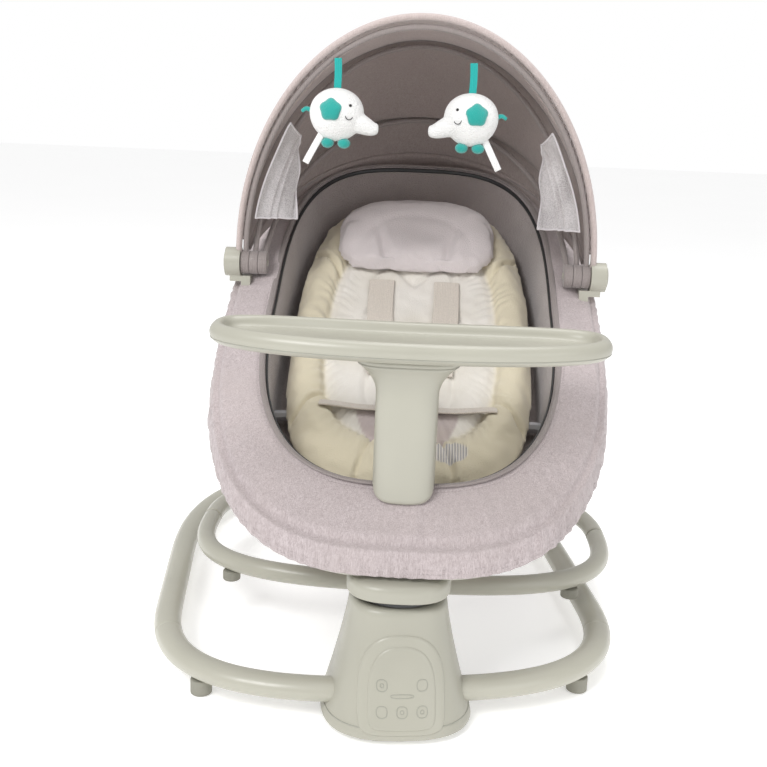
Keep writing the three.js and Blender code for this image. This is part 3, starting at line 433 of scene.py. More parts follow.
def sharpen_by_angle(thing: bpy.types.Object, degrees: float) -> None:
    """Marks edges sharper than an angle, so that a moulded edge stays crisp."""
    work = bmesh.new()
    work.from_mesh(thing.data)
    for edge in work.edges:
        edge.smooth = len(edge.link_faces) < 2 or edge.calc_face_angle() < math.radians(degrees)
    work.to_mesh(thing.data)
    work.free()


# ------------------------------------------------------------------ shader tools


class Wire:
    """A node's output that Python's operators work on: each adds one Math node."""

    def __init__(self, shader: "Shader", socket: bpy.types.NodeSocket) -> None:
        """Keeps the socket and the shader that it belongs to."""
        self.shader = shader
        self.socket = socket

    def _maths(self, operation: str, first: object, second: object) -> "Wire":
        """Adds a Math node for two values or wires."""
        return self.shader.node("ShaderNodeMath", {"operation": operation}, {0: first, 1: second})

    def __add__(self, other: object) -> "Wire":
        """Sum."""
        return self._maths("ADD", self, other)

    __radd__ = __add__

    def __sub__(self, other: object) -> "Wire":
        """Difference."""
        return self._maths("SUBTRACT", self, other)

    def __rsub__(self, other: object) -> "Wire":
        """Difference, the wire second."""
        return self._maths("SUBTRACT", other, self)

    def __mul__(self, other: object) -> "Wire":
        """Product."""
        return self._maths("MULTIPLY", self, other)

    __rmul__ = __mul__

    def __truediv__(self, other: object) -> "Wire":
        """Quotient."""
        return self._maths("DIVIDE", self, other)

    def sine(self) -> "Wire":
        """Sine."""
        return self.shader.node("ShaderNodeMath", {"operation": "SINE"}, {0: self})

    def between(self, low: float, high: float) -> "Wire":
        """Rises smoothly from 0 at low to 1 at high."""
        settings = {"interpolation_type": "SMOOTHSTEP"}
        return self.shader.node(
            "ShaderNodeMapRange", settings, {"Value": self, "From Min": low, "From Max": high}
        )


class Shader:
    """One material's node tree."""

    def __init__(self, name: str) -> None:
        """Makes a material with a bare surface."""
        self.material = bpy.data.materials.new(name)
        self.material.use_nodes = True
        self.tree = self.material.node_tree
        self.tree.nodes.clear()

    def node(
        self, kind: str, settings: dict | None = None, inputs: dict | None = None, output: int | str = 0
    ) -> Wire | None:
        """Adds a node.

        Args:
            kind: the node's type.
            settings: its properties.
            inputs: values or wires for its inputs, by name or number.
            output: which output is returned, by name or number.

        Returns:
            The wire from that output.
        """
        made = self.tree.nodes.new(kind)
        for key, value in (settings or {}).items():
            setattr(made, key, value)
        for key, value in (inputs or {}).items():
            socket = self._find(made.inputs, key)
            if isinstance(value, Wire):
                self.tree.links.new(value.socket, socket)
            else:
                socket.default_value = value
        return Wire(self, self._find(made.outputs, output)) if len(made.outputs) else None

    @staticmethod
    def _find(sockets: object, key: int | str) -> bpy.types.NodeSocket:
        """A socket by number, identifier or name."""
        if isinstance(key, int):
            return sockets[key]
        return next((s for s in sockets if s.identifier == key), None) or sockets[key]

    def places(self) -> Wire:
        """Object coordinates."""
        return self.node("ShaderNodeTexCoord", output="Object")

    def cloth(self) -> Wire:
        """The rest place that a soft piece carries."""
        return self.node("ShaderNodeAttribute", {"attribute_name": "cloth"}, output="Vector")

    def mask(self, name: str) -> Wire:
        """A number that the mesh carries."""
        return self.node("ShaderNodeAttribute", {"attribute_name": name}, output="Fac")

    def stretched(self, vector: Wire, scale: tuple) -> Wire:
        """A vector with each component multiplied."""
        return self.node("ShaderNodeVectorMath", {"operation": "MULTIPLY"}, {0: vector, 1: scale})

    def part(self, vector: Wire, axis: int) -> Wire:
        """One component of a vector."""
        return self.node("ShaderNodeSeparateXYZ", None, {0: vector}, output=axis)

    def noise(self, vector: Wire, scale: float, detail: float = 3.0, rough: float = 0.5) -> Wire:
        """Cloudy noise between 0 and 1."""
        inputs = {"Vector": vector, "Scale": scale, "Detail": detail, "Roughness": rough}
        return self.node("ShaderNodeTexNoise", None, inputs, output="Fac")

    def cells(self, vector: Wire, scale: float) -> Wire:
        """Distance to the nearest of many scattered points."""
        inputs = {"Vector": vector, "Scale": scale}
        return self.node("ShaderNodeTexVoronoi", None, inputs, output="Distance")

    def mix(self, share: Wire | float, first: object, second: object) -> Wire:
        """Mixes two colours."""
        inputs = {"Factor_Float": share, "A_Color": first, "B_Color": second}
        return self.node("ShaderNodeMix", {"data_type": "RGBA"}, inputs, output="Result_Color")

    def finish(
        self,
        colour: Wire | tuple,
        roughness: Wire | float,
        height: Wire | None = None,
        relief: float = 0.0003,
        constants: dict | None = None,
        alpha: Wire | None = None,
    ) -> bpy.types.Material:
        """Closes the tree with a Principled surface.

        Args:
            colour: base colour.
            roughness: roughness.
            height: height field for the bump, or nothing.
            relief: how far a height of 1 stands out, in metres.
            constants: other sockets' fixed values.
            alpha: opacity, where it changes over the surface.

        Returns:
            The material.
        """
        inputs = {"Base Color": colour, "Roughness": roughness, **(constants or {})}
        if height is not None:
            bump = {"Height": height, "Distance": relief, "Strength": 1.0}
            inputs["Normal"] = self.node("ShaderNodeBump", None, bump, output="Normal")
        if alpha is not None:
            inputs["Alpha"] = alpha
        surface = self.node("ShaderNodeBsdfPrincipled", None, inputs, output="BSDF")
        self.node("ShaderNodeOutputMaterial", None, {"Surface": surface})
        return self.material


def tone(red: float, green: float, blue: float) -> tuple:
    """A colour with full opacity, as colour sockets want it."""
    return (red, green, blue, 1.0)


def shade(colour: tuple, factor: float) -> tuple:
    """The same colour, lighter or darker."""
    return (*(min(1.0, channel * factor) for channel in colour[:3]), 1.0)


# ------------------------------------------------------------------ finishes


@dataclass(frozen=True)
class MouldedPlastic:
    """Satin moulded plastic or paint, with a fine skin and a faint unevenness."""

    name: str
    colour: tuple
    roughness: float = 0.36
    skin: float = 0.00002
    coat: float = 0.12

    def material(self) -> bpy.types.Material:
        """Colour varies by cloudy noise, roughness by finer noise, and the skin is bumped."""
        shader = Shader(self.name)
        places = shader.places()
        cloud = shader.noise(places, 7.0, 2.0)
        skin = shader.noise(places, 900.0, 2.0)
        scuff = shader.noise(shader.stretched(places, (1, 1, 3)), 60.0, 5.0, 0.65)
        colour = shader.mix(cloud.between(0.3, 0.7), shade(self.colour, 0.95), shade(self.colour, 1.04))
        colour = shader.mix(scuff.between(0.66, 0.82) * 0.1, colour, shade(self.colour, 0.85))
        roughness = scuff.between(0.35, 0.75) * 0.12 + (self.roughness - 0.05)
        constants = {"Coat Weight": self.coat, "Coat Roughness": 0.18}
        return shader.finish(colour, roughness, skin, self.skin, constants)


@dataclass(frozen=True)
class HeatherKnit:
    """Knitted cloth of mixed light and dark yarn, with fine streaks down the cloth."""

    name: str
    light: tuple
    dark: tuple
    warm: tuple
    contrast: float = 1.0
    streak: tuple = (1.0, 1.0, 0.16)

    def material(self) -> bpy.types.Material:
        """Streaks and flecks pick light or dark yarn; a rib and the flecks are bumped."""
        shader = Shader(self.name)
        cloth = shader.cloth()
        down = shader.stretched(cloth, self.streak)
        streak = shader.noise(down, 900.0, 3.0, 0.6)
        long_streak = shader.noise(down, 300.0, 3.0, 0.6)
        fleck = shader.noise(cloth, 1700.0, 2.0)
        cloud = shader.noise(cloth, 11.0, 3.0)
        yarn = streak * 0.45 + long_streak * 0.2 + fleck * 0.35
        pick = yarn.between(0.5 - 0.13 / self.contrast, 0.5 + 0.13 / self.contrast)
        colour = shader.mix(pick, self.dark, self.light)
        colour = shader.mix(cloud.between(0.35, 0.75) * 0.35, colour, self.warm)
        stitch = shader.cells(shader.stretched(cloth, (1.0, 1.0, 0.6)), 620.0)
        height = stitch * 0.6 + streak * 0.6
        constants = {"Sheen Weight": 0.35, "Sheen Roughness": 0.5, "Specular IOR Level": 0.25}
        return shader.finish(colour, 0.92, height, 0.0004, constants)


@dataclass(frozen=True)
class SoftKnit:
    """Plain short-pile knit, such as on a pillow or a lining."""

    name: str
    colour: tuple
    pile: float = 0.0005
    scale: float = 700.0

    def material(self) -> bpy.types.Material:
        """Colour wanders a little with noise; the pile is a bump of cells and noise."""
        shader = Shader(self.name)
        cloth = shader.cloth()
        cloud = shader.noise(cloth, 16.0, 4.0)
        fibre = shader.noise(cloth, 1100.0, 3.0)
        colour = shader.mix(cloud.between(0.3, 0.7), shade(self.colour, 0.93), shade(self.colour, 1.03))
        colour = shader.mix(fibre.between(0.35, 0.65) * 0.3, colour, shade(self.colour, 0.85))
        height = shader.cells(cloth, self.scale) + fibre * 0.8
        constants = {"Sheen Weight": 0.45, "Sheen Roughness": 0.6, "Specular IOR Level": 0.2}
        return shader.finish(colour, 0.95, height, self.pile, constants)


@dataclass(frozen=True)
class LinerKnit:
    """The padded liner's cloth: cream border, white middle, rosy insert and a ribbed patch."""

    name: str
    border: tuple
    middle: tuple
    insert: tuple
    rib: tuple

    def material(self) -> bpy.types.Material:
        """Each zone's colour is mixed in by a mask on the mesh; the ribs are a sine of X."""
        shader = Shader(self.name)
        cloth = shader.cloth()
        cloud = shader.noise(cloth, 14.0, 4.0)
        fibre = shader.noise(cloth, 1000.0, 3.0)
        colour = shader.mix(shader.mask("border"), self.middle, self.border)
        colour = shader.mix(shader.mask("insert"), colour, self.insert)
        ribs = (shader.part(cloth, 0) * (FULL_TURN / 0.0032)).sine()
        patch = shader.mask("ribbed")
        colour = shader.mix(patch, colour, shader.mix(ribs.between(-0.4, 0.4), self.rib, self.middle))
        colour = shader.mix(cloud.between(0.35, 0.75) * 0.3, colour, shade(self.border, 0.82))
        height = shader.cells(cloth, 750.0) * 0.6 + fibre * 0.5 + ribs * patch * 0.8
        constants = {"Sheen Weight": 0.4, "Sheen Roughness": 0.5, "Specular IOR Level": 0.2}
        return shader.finish(colour, 0.93, height, 0.0006, constants)


@dataclass(frozen=True)
class SheerNet:
    """Fine hexagonal net that shows what is behind it."""

    name: str
    colour: tuple
    cover: float = 0.44

    def material(self) -> bpy.types.Material:
        """Opacity is highest on the cell walls, and rises in cloudy patches."""
        shader = Shader(self.name)
        cloth = shader.cloth()
        walls = shader.cells(cloth, 800.0).between(0.25, 0.6)
        cloud = shader.noise(shader.stretched(cloth, (1, 1, 0.5)), 40.0, 3.0)
        alpha = walls * 0.22 + cloud.between(0.3, 0.7) * 0.16 + (self.cover - 0.14)
        colour = shader.mix(cloud, shade(self.colour, 0.94), shade(self.colour, 1.05))
        constants = {"Sheen Weight": 0.5, "Specular IOR Level": 0.3}
        return shader.finish(colour, 0.7, None, 0.0, constants, alpha)


@dataclass(frozen=True)
class Webbing:
    """Woven strap: ribs along the strap and fine picks across it."""

    name: str
    colour: tuple
    shine: float = 0.1

    def material(self) -> bpy.types.Material:
        """Ribs are a sine of X, picks a sine of Y, both softened with noise."""
        shader = Shader(self.name)
        cloth = shader.cloth()
        ribs = (shader.part(cloth, 0) * (FULL_TURN / 0.0022)).sine()
        picks = (shader.part(cloth, 1) * (FULL_TURN / 0.0011)).sine()
        fibre = shader.noise(cloth, 900.0, 3.0)
        colour = shader.mix(fibre.between(0.35, 0.7), shade(self.colour, 0.88), shade(self.colour, 1.05))
        colour = shader.mix(ribs.between(-1, 1) * 0.18, colour, shade(self.colour, 0.8))
        height = ribs * 0.4 + picks * 0.25 + fibre * 0.4
        constants = {"Sheen Weight": 0.3, "Coat Weight": self.shine, "Specular IOR Level": 0.3}
        return shader.finish(colour, 0.8, height, 0.0003, constants)


@dataclass(frozen=True)
class Metal:
    """Plain drawn or wound metal."""

    name: str
    colour: tuple
    roughness: float = 0.3

    def material(self) -> bpy.types.Material:
        """Draw marks run along Z as stretched noise."""
        shader = Shader(self.name)
        marks = shader.noise(shader.stretched(shader.places(), (1, 1, 0.06)), 700.0, 3.0)
        colour = shader.mix(marks, shade(self.colour, 0.85), self.colour)
        return shader.finish(colour, marks * 0.15 + self.roughness, marks, 0.00005, {"Metallic": 1.0})


@dataclass(frozen=True)
class CircuitBoard:
    """Green lacquer with copper tracks."""

    name: str

    def material(self) -> bpy.types.Material:
        """Tracks are the walls of square cells."""
        shader = Shader(self.name)
        settings = {"distance": "CHEBYCHEV", "feature": "F1"}
        inputs = {"Vector": shader.places(), "Scale": 160.0}
        cell = shader.node("ShaderNodeTexVoronoi", settings, inputs, output="Distance")
        track = cell.between(0.38, 0.42)
        colour = shader.mix(track, tone(0.02, 0.16, 0.06), tone(0.10, 0.30, 0.12))
        return shader.finish(colour, 0.35, track, 0.0001)


class Finishes:
    """Every material of the swing, made once."""

    def __init__(self) -> None:
        """Makes the materials."""
        greige = tone(0.405, 0.395, 0.332)
        self.shell = MouldedPlastic("greige_shell", greige, 0.38).material()
        self.panel = MouldedPlastic("greige_panel", shade(greige, 1.02), 0.36, 0.00001, 0.12).material()
        self.tube = MouldedPlastic("greige_paint", shade(greige, 1.12), 0.34, 0.00001, 0.2).material()
        self.rubber = MouldedPlastic("greige_rubber", shade(greige, 0.72), 0.75, 0.0002, 0.0).material()
        self.dark = MouldedPlastic("dark_plastic", tone(0.03, 0.031, 0.032), 0.5).material()
        self.mark = MouldedPlastic("mark_grey", tone(0.34, 0.34, 0.29), 0.5).material()
        self.knit = HeatherKnit(
            "heather_knit", tone(0.56, 0.495, 0.50), tone(0.36, 0.305, 0.305), tone(0.46, 0.40, 0.39)
        ).material()
        self.lining = HeatherKnit(
            "hood_lining", tone(0.42, 0.36, 0.345), tone(0.27, 0.22, 0.205), tone(0.35, 0.28, 0.27), 0.7
        ).material()
        # The band's cloth, lighter than the lining. On the front gore's inside it is also a painted highlight
        # where the front of the hood is lit, partly a lighter band of cloth there.
        self.band_and_lit_lining = HeatherKnit(
            "hood_band", tone(0.60, 0.52, 0.50), tone(0.42, 0.35, 0.335), tone(0.52, 0.44, 0.42), 0.7
        ).material()
        self.mesh_lining = SoftKnit("mesh_lining", tone(0.36, 0.31, 0.30), 0.0009, 420.0).material()
        self.binding = Webbing("cover_binding", tone(0.30, 0.26, 0.25)).material()
        self.thread = SoftKnit("thread", tone(0.50, 0.44, 0.44), 0.0001).material()
        self.liner = LinerKnit(
            "liner_knit",
            tone(0.70, 0.635, 0.48),
            tone(0.80, 0.765, 0.71),
            tone(0.56, 0.48, 0.47),
            tone(0.42, 0.40, 0.42),
        ).material()
        self.pillow = SoftKnit("pillow_plush", tone(0.66, 0.60, 0.60), 0.0005, 600.0).material()
        self.webbing = Webbing("strap_webbing", tone(0.72, 0.655, 0.58)).material()
        self.net = SheerNet("sheer_net", tone(0.74, 0.71, 0.72)).material()
        self.net_hem = SoftKnit("net_hem", tone(0.62, 0.585, 0.60)).material()
        self.plush = SoftKnit("white_plush", tone(0.90, 0.895, 0.885), 0.0010, 520.0).material()
        self.teal = SoftKnit("teal_plush", tone(0.010, 0.36, 0.32), 0.0005, 650.0).material()
        self.ribbon = Webbing("teal_ribbon", tone(0.012, 0.40, 0.37), 0.3).material()
        self.satin = Webbing("satin_tag", tone(0.88, 0.87, 0.86), 0.4).material()
        self.bead = MouldedPlastic("black_bead", tone(0.015, 0.014, 0.014), 0.2).material()
        self.steel = Metal("bright_steel", tone(0.62, 0.63, 0.65)).material()
        self.copper = Metal("wound_copper", tone(0.72, 0.36, 0.18), 0.35).material()
        self.board = CircuitBoard("circuit_board").material()


def stitches(
    path: np.ndarray, outward: np.ndarray, name: str, material: bpy.types.Material,
    pitch: float = 0.0042, length: float = 0.0028, radius: float = 0.00045,
) -> bpy.types.Object:
    """A row of short thread lengths along a closed path.

    Each is a six-sided spindle: rings along its length whose radius follows a sine.

    Args:
        path: closed path on the cloth, shape (n, 3).
        outward: the cloth's normal at each of its points.
        name: the piece's name.
        material: the thread.
        pitch: distance from stitch to stitch.
        length: length of a stitch.
        radius: the thread's radius.

    Returns:
        All the stitches as one object.
    """
    loop = np.concatenate([path, path[:1]])
    far = np.concatenate([[0], np.cumsum(np.linalg.norm(np.diff(loop, axis=0), axis=1))])
    at = np.arange(0, far[-1] - pitch, pitch)
    centre = np.stack([np.interp(at, far, loop[:, k]) for k in range(3)], -1)
    ahead = np.stack([np.interp(at + 0.0005, far, loop[:, k]) for k in range(3)], -1)
    normals = np.concatenate([outward, outward[:1]])
    lift = unit(np.stack([np.interp(at, far, normals[:, k]) for k in range(3)], -1))
    tangent = unit(ahead - centre)
    side = unit(np.cross(tangent, lift))
    along = np.linspace(-0.5, 0.5, 5)
    swell = radius * np.sin(np.linspace(0, math.pi, 5)) ** 0.6
    angle = np.linspace(0, FULL_TURN, 6, endpoint=False)
    rings = (
        centre[:, None, None]
        + length * along[None, :, None, None] * tangent[:, None, None]
        + swell[None, :, None, None]
        * (
            np.cos(angle)[None, None, :, None] * side[:, None, None]
            + np.sin(angle)[None, None, :, None] * lift[:, None, None]
        )
        + radius * 0.5 * lift[:, None, None]
    )
    return Shape().copies(rings).build(name, material)


# ------------------------------------------------------------------ shared placing


def settle(piece: bpy.types.Object, body: str | None, slot: str, *nodes: str) -> bpy.types.Object:
    """Lets a piece ride on a body and hides the nodes of the frame that it stands for.

    A piece that is blended between two bodies has no body of its own here.
    """
    if body:
        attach(piece, body)
    if nodes:
        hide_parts(*nodes)
    LOG.info("%s on %s, %d faces", piece.name, body, len(piece.data.polygons))
    return piece


def dress(material: bpy.types.Material, *nodes: str) -> None:
    """Gives nodes of the frame a better material and leaves their shape alone."""
    for node in nodes:
        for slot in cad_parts[node].material_slots:
            slot.material = material
        LOG.info("%s dressed", node)


def refined(node: str, material: bpy.types.Material, bevel: float) -> bpy.types.Object:
    """A merged copy of a rigid node with small rounded edges.

    Args:
        node: the node that is copied.
        material: the copy's material.
        bevel: width of the rounded edges.

    Returns:
        The copy.
    """
    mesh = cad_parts[node].data.copy()
    work = bmesh.new()
    work.from_mesh(mesh)
    bmesh.ops.remove_doubles(work, verts=work.verts, dist=2e-6)
    bmesh.ops.dissolve_limit(work, angle_limit=math.radians(1.0), verts=work.verts, edges=work.edges)
    work.to_mesh(mesh)
    work.free()
    mesh.polygons.foreach_set("use_smooth", np.ones(len(mesh.polygons), bool))
    mesh.materials.clear()
    mesh.materials.append(material)
    thing = bpy.data.objects.new(node + "_finish", mesh)
    bpy.context.scene.collection.objects.link(thing)
    rounding = thing.modifiers.new("edges", "BEVEL")
    rounding.width, rounding.segments = bevel, 2
    rounding.limit_method, rounding.angle_limit = "ANGLE", math.radians(38)
    thing.modifiers.new("shading", "WEIGHTED_NORMAL").keep_sharp = True
    return thing


def applied(thing: bpy.types.Object) -> None:
    """Applies an object's modifiers to its mesh."""
    graph = bpy.context.evaluated_depsgraph_get()
    made = bpy.data.meshes.new_from_object(thing.evaluated_get(graph))
    thing.modifiers.clear()
    old, thing.data = thing.data, made
    bpy.data.meshes.remove(old)


def remeshed(thing: bpy.types.Object, voxel: float, smoothing: int) -> None:
    """Fuses a shape's overlapping bodies into one skin and softens it."""
    remesh = thing.modifiers.new("skin", "REMESH")
    remesh.mode, remesh.voxel_size = "VOXEL", voxel
    applied(thing)
    smooth = thing.modifiers.new("soften", "SMOOTH")
    smooth.factor, smooth.iterations = 0.5, smoothing
    applied(thing)
    thing.data.polygons.foreach_set("use_smooth", np.ones(len(thing.data.polygons), bool))


def inflate(thing: bpy.types.Object, cap: float, voxel: float, pressure: float = 4.0) -> None:
    """Swells a pad as filled cloth, then caps how far any point has moved.

    Args:
        thing: the pad. Its mesh is replaced.
        cap: the most that a point may move.
        voxel: size of the even mesh that is swelled.
        pressure: the filling's pressure.
    """
    remesh = thing.modifiers.new("even", "REMESH")
    remesh.mode, remesh.voxel_size = "VOXEL", voxel
    applied(thing)
    start = vertex_array(thing)
    cloth = thing.modifiers.new("fill", "CLOTH")
    cloth.settings.use_pressure = True
    cloth.settings.uniform_pressure_force = pressure
    cloth.settings.effector_weights.gravity = 0
    cloth.settings.quality = 5
    scene = bpy.context.scene
    for step in range(1, 21):
        scene.frame_set(step)
    applied(thing)
    scene.frame_set(1)
    moved = vertex_array(thing) - start
    far = np.linalg.norm(moved, axis=1, keepdims=True)
    move_vertices(thing, start + moved * np.minimum(1, cap / np.maximum(far, 1e-9)))
    finer = thing.modifiers.new("finer", "SUBSURF")
    finer.levels = finer.render_levels = 1
    applied(thing)
    thing.data.polygons.foreach_set("use_smooth", np.ones(len(thing.data.polygons), bool))


def vertex_normals(thing: bpy.types.Object) -> np.ndarray:
    """An object's vertex normals, shape (n, 3)."""
    flat = np.zeros(len(thing.data.vertices) * 3, np.float32)
    thing.data.vertex_normals.foreach_get("vector", flat)
    return flat.reshape(-1, 3).astype(float)


def cloth_area(thing: bpy.types.Object) -> float:
    """Area of all of an object's faces."""
    areas = np.zeros(len(thing.data.polygons))
    thing.data.polygons.foreach_get("area", areas)
    return float(areas.sum())


def declare_cloth(
    piece: bpy.types.Object, width: float, held: str, slack: float = 1.0, thick: bool = True, **more: list
) -> None:
    """Works out a sheet of cloth's flat area from the area of its own face; the area is not used further.

    Args:
        piece: the sheet.
        width: width that it was cut to; not used.
        held: how it is held; not used.
        slack: flat area divided by the area that shows.
        thick: whether the mesh has two faces.
        more: what it rests on and the pieces sewn to it; not used.
    """
    area = cloth_area(piece) * slack / (2 if thick else 1)


def swept_loop(
    path: np.ndarray, half_a: float, half_b: float, sides: int, reference: np.ndarray
) -> np.ndarray:
    """A closed path's rings: the path is run past its join, swept, and cut back."""
    longer = np.concatenate([path[-2:], path, path[:2]])
    return swept(longer, half_a, half_b, sides, reference)[2:-2]


def ellipsoid(centre: tuple, half: tuple, rows: int = 20, columns: int = 32) -> np.ndarray:
    """A ball stretched by its three half lengths, as rings from its lowest to its highest point."""
    height = np.linspace(-math.pi / 2, math.pi / 2, rows)[:, None]
    angle = np.linspace(0, FULL_TURN, columns, endpoint=False)[None]
    flat = [np.cos(height) * np.cos(angle), np.cos(height) * np.sin(angle), np.sin(height) + 0 * angle]
    return np.array(centre) + np.stack(flat, -1) * np.array(half)


def turned_base(points: np.ndarray) -> np.ndarray:
    """Turns points of the base by the 7 degrees at which it stands to the seat."""
    turn = math.radians(7)
    c, s = math.cos(turn), math.sin(turn)
    x, y, z = points[..., 0], points[..., 1], points[..., 2]
    return np.stack([x * c - y * s, x * s + y * c, z], -1)


def seat_top_z(y: np.ndarray) -> np.ndarray:
    """Height of the seat's edge: a slope of 0.42 plus a rise that dies away from the front."""
    t = np.maximum(y + 0.044, 0)
    return 0.197 + 0.42 * t + 0.061 * (1 - np.exp(-t / 0.25))


def liner_z(y: np.ndarray) -> np.ndarray:
    """Height of the liner's face: a slope of 0.496 that steepens towards the head."""
    return 0.226 + 0.496 * (y - 0.062) + 0.384 * (y - 0.062) * (y - 0.3)


def hood_point(
    half_width: np.ndarray | float, height: np.ndarray | float, way: np.ndarray, lean: np.ndarray
) -> np.ndarray:
    """A point of the hood: a half oval from hinge to hinge that leans about their axis.

    Args:
        half_width: half width of the oval.
        height: its height.
        way: the way round in degrees, 0 at the left hinge.
        lean: degrees forward of upright.

    Returns:
        The points.
    """
    a, b = np.radians(way), np.radians(lean)
    rise = height * np.sin(a)
    x, y, z = -half_width * np.cos(a), 0.33 - rise * np.sin(b), 0.434 + rise * np.cos(b)
    return np.stack(np.broadcast_arrays(x, y, z), -1)


# ------------------------------------------------------------------ floor base


@dataclass
class FloorBase:
    """The floor ring with the motor housing at its front."""

    finishes: Finishes
    ring: PlanOval = PlanOval(0.262, -0.030, 0.190, 0.330, 0.672, 2.9, 2.6)
    tube_half: tuple = (0.016, 0.013)
    ring_z: float = 0.031
    seam_y: float = 0.105
    bottom_z: float = 0.006
    top_z: float = 0.132
    top_half: tuple = (0.052, 0.050)
    flare: float = 0.030
    forward: float = 0.011
    squareness: float = 2.7

    def build(self) -> None:
        """Builds the base."""
        self._housing()
        self._fascia()
        self._tubes()
        self._inside()

    def _spread(self, z: np.ndarray) -> np.ndarray:
        """Share of the flare at a height: (1 - height share) to the power 1.3."""
        share = (z - self.bottom_z) / (self.top_z - self.bottom_z)
        return np.clip(1 - share, 0, 1) ** 1.3

    def _level(self, z: float, inset: float, count: int = 144) -> np.ndarray:
        """The housing's outline at a height, drawn in by inset."""
        spread = float(self._spread(np.array(z)))
        half_x = self.top_half[0] + self.flare * spread - inset
        half_y = self.top_half[1] + self.flare * spread - inset
        return oval_ring(half_x, half_y, self.squareness, z, count, -self.forward * spread)

    def _front_y(self, x: np.ndarray, z: np.ndarray) -> np.ndarray:
        """The housing's front face: the oval solved for Y."""
        spread = self._spread(z)
        half_x, half_y = self.top_half[0] + self.flare * spread, self.top_half[1] + self.flare * spread
        share = np.clip(1 - np.abs(x / half_x) ** self.squareness, 0, 1)
        return -self.forward * spread - half_y * share ** (1 / self.squareness)

    def _housing(self) -> None:
        """Outer wall, rounded top, shaft hole and inner wall as one closed skin."""
        levels = [(z, 0.0) for z in np.linspace(0.0075, 0.127, 34)]
        edge = [(0.129, 0.0008), (0.1308, 0.0024), (0.1317, 0.0045), (0.132, 0.0075)]
        outer = [(0.006, 0.0012)] + levels + edge
        rings = [self._level(z, inset) for z, inset in outer]
        hole = oval_ring(0.0200, 0.0200, 2, 0.132, 144)
        share = np.linspace(0, 1, 6)[1:, None, None]
        rings += list(rings[-1][None] * (1 - share) + hole[None] * share)
        rings += [oval_ring(0.0200, 0.0200, 2, 0.129, 144)]
        rings += [self._level(z, 0.003) for z in (0.1285, 0.120, 0.09, 0.06, 0.03, 0.006)]
        shell = Shape().grid(turned_base(np.stack(rings)), True, True)
        piece = shell.build("housing_skin", self.finishes.shell)
        sharpen_by_angle(piece, 50)
        settle(piece, "base", "shell", "housing_shell")
        line = self._level(0.0165, -0.0001)
        groove_line = swept_loop(turned_base(line), 0.0006, 0.0006, 6, Z_AXIS)
        seam = Shape().grid(groove_line, True, True).build("housing_foot_line", self.finishes.mark)
        settle(seam, "base", "panel")

    def _shield(self, half: float, low: float, shoulder: float, top: float, angle: np.ndarray) -> tuple:
        """The arched outline: a squared oval below its middle and a rounder one above it."""
        middle = shoulder * 0.62 + low * 0.38
        above = np.sin(angle) > 0
        power = 2 / np.where(above, 2.5, 7.0)
        c, s = np.cos(angle), np.sin(angle)
        x = np.sign(c) * half * np.abs(c) ** power
        reach = np.where(above, top - middle, middle - low)
        return x, middle + np.sign(s) * reach * np.abs(s) ** power

    def _plate(
        self, name: str, material: bpy.types.Material, outline: tuple, proud: float, sunk: float
    ) -> bpy.types.Object:
        """A raised plate on the housing's front.

        Its face follows the housing at a height above it that falls off at the outline as a
        quarter round.

        Args:
            name: the piece's name.
            material: its material.
            outline: half width, lowest, shoulder and highest height.
            proud: how far the face stands out.
            sunk: how far the back lies inside the housing's face.

        Returns:
            The plate.
        """
        angle = even_angles(lambda a: self._shield(*outline, a), 160)
        x, z = self._shield(*outline, angle)
        middle = outline[2] * 0.62 + outline[1] * 0.38
        share = np.concatenate([np.linspace(0, 0.94, 22), np.linspace(0.955, 1, 7)])[:, None]
        grid_x, grid_z = x[None] * share, middle + (z[None] - middle) * share
        edge = np.clip((share - 0.94) / 0.06, 0, 1)
        lift = proud - (proud + 0.0004) * (1 - np.sqrt(np.clip(1 - edge**2, 0, 1)))
        front = np.stack([grid_x, self._front_y(grid_x, grid_z) - lift, grid_z], -1)
        back = np.stack([grid_x, self._front_y(grid_x, grid_z) + sunk, grid_z], -1)[::-1]
        shape = Shape().grid(turned_base(np.concatenate([front, back])), False, True)
        return shape.build(name, material)

    def _fascia(self) -> None:
        """The arched fascia, the touch face on it and the plain marks."""
        fascia = self._plate("fascia", self.finishes.panel, (0.046, 0.011, 0.070, 0.107), 0.0018, 0.001)
        settle(fascia, "base", "panel", "control_panel")
        face = self._plate("touch_face", self.finishes.shell, (0.036, 0.016, 0.066, 0.097), 0.0031, 0.0005)
        settle(face, "base", "panel", "touch_overlay")
        marks = Shape()
        for x, z in ((-0.021, 0.059), (0.021, 0.059), (-0.021, 0.034), (0.0, 0.034), (0.021, 0.034)):
            marks.grid(self._mark(x, z, 0.0055, 0.0055), True, True)
        marks.grid(self._mark(0.0, 0.049, 0.012, 0.0018), True, True)
        for x, z in ((-0.021, 0.059), (0.021, 0.034), (0.0, 0.034)):
            marks.grid(self._mark(x, z, 0.0018, 0.0018), True, True)
        settle(marks.build("touch_marks", self.finishes.mark), "base", "panel")

    def _mark(self, x: float, z: float, half_x: float, half_z: float) -> np.ndarray:
        """A thin rounded outline that lies on the touch face."""
        angle = np.linspace(0, FULL_TURN, 40, endpoint=False)
        px, pz = oval(half_x, half_z, 2.6, angle)
        px, pz = px + x, pz + z
        path = np.stack([px, self._front_y(px, pz) - 0.0031, pz], -1)
        return swept_loop(turned_base(path), 0.0005, 0.0005, 8, Y_AXIS)

    def _ring_path(self, start: float, end: float, count: int) -> np.ndarray:
        """The ring's middle line from one angle to another."""
        angle = even_angles(self.ring.at, count, start, end)
        x, y = self.ring.at(angle)
        return turned_base(np.stack([x, y, np.full(count, self.ring_z)], -1))

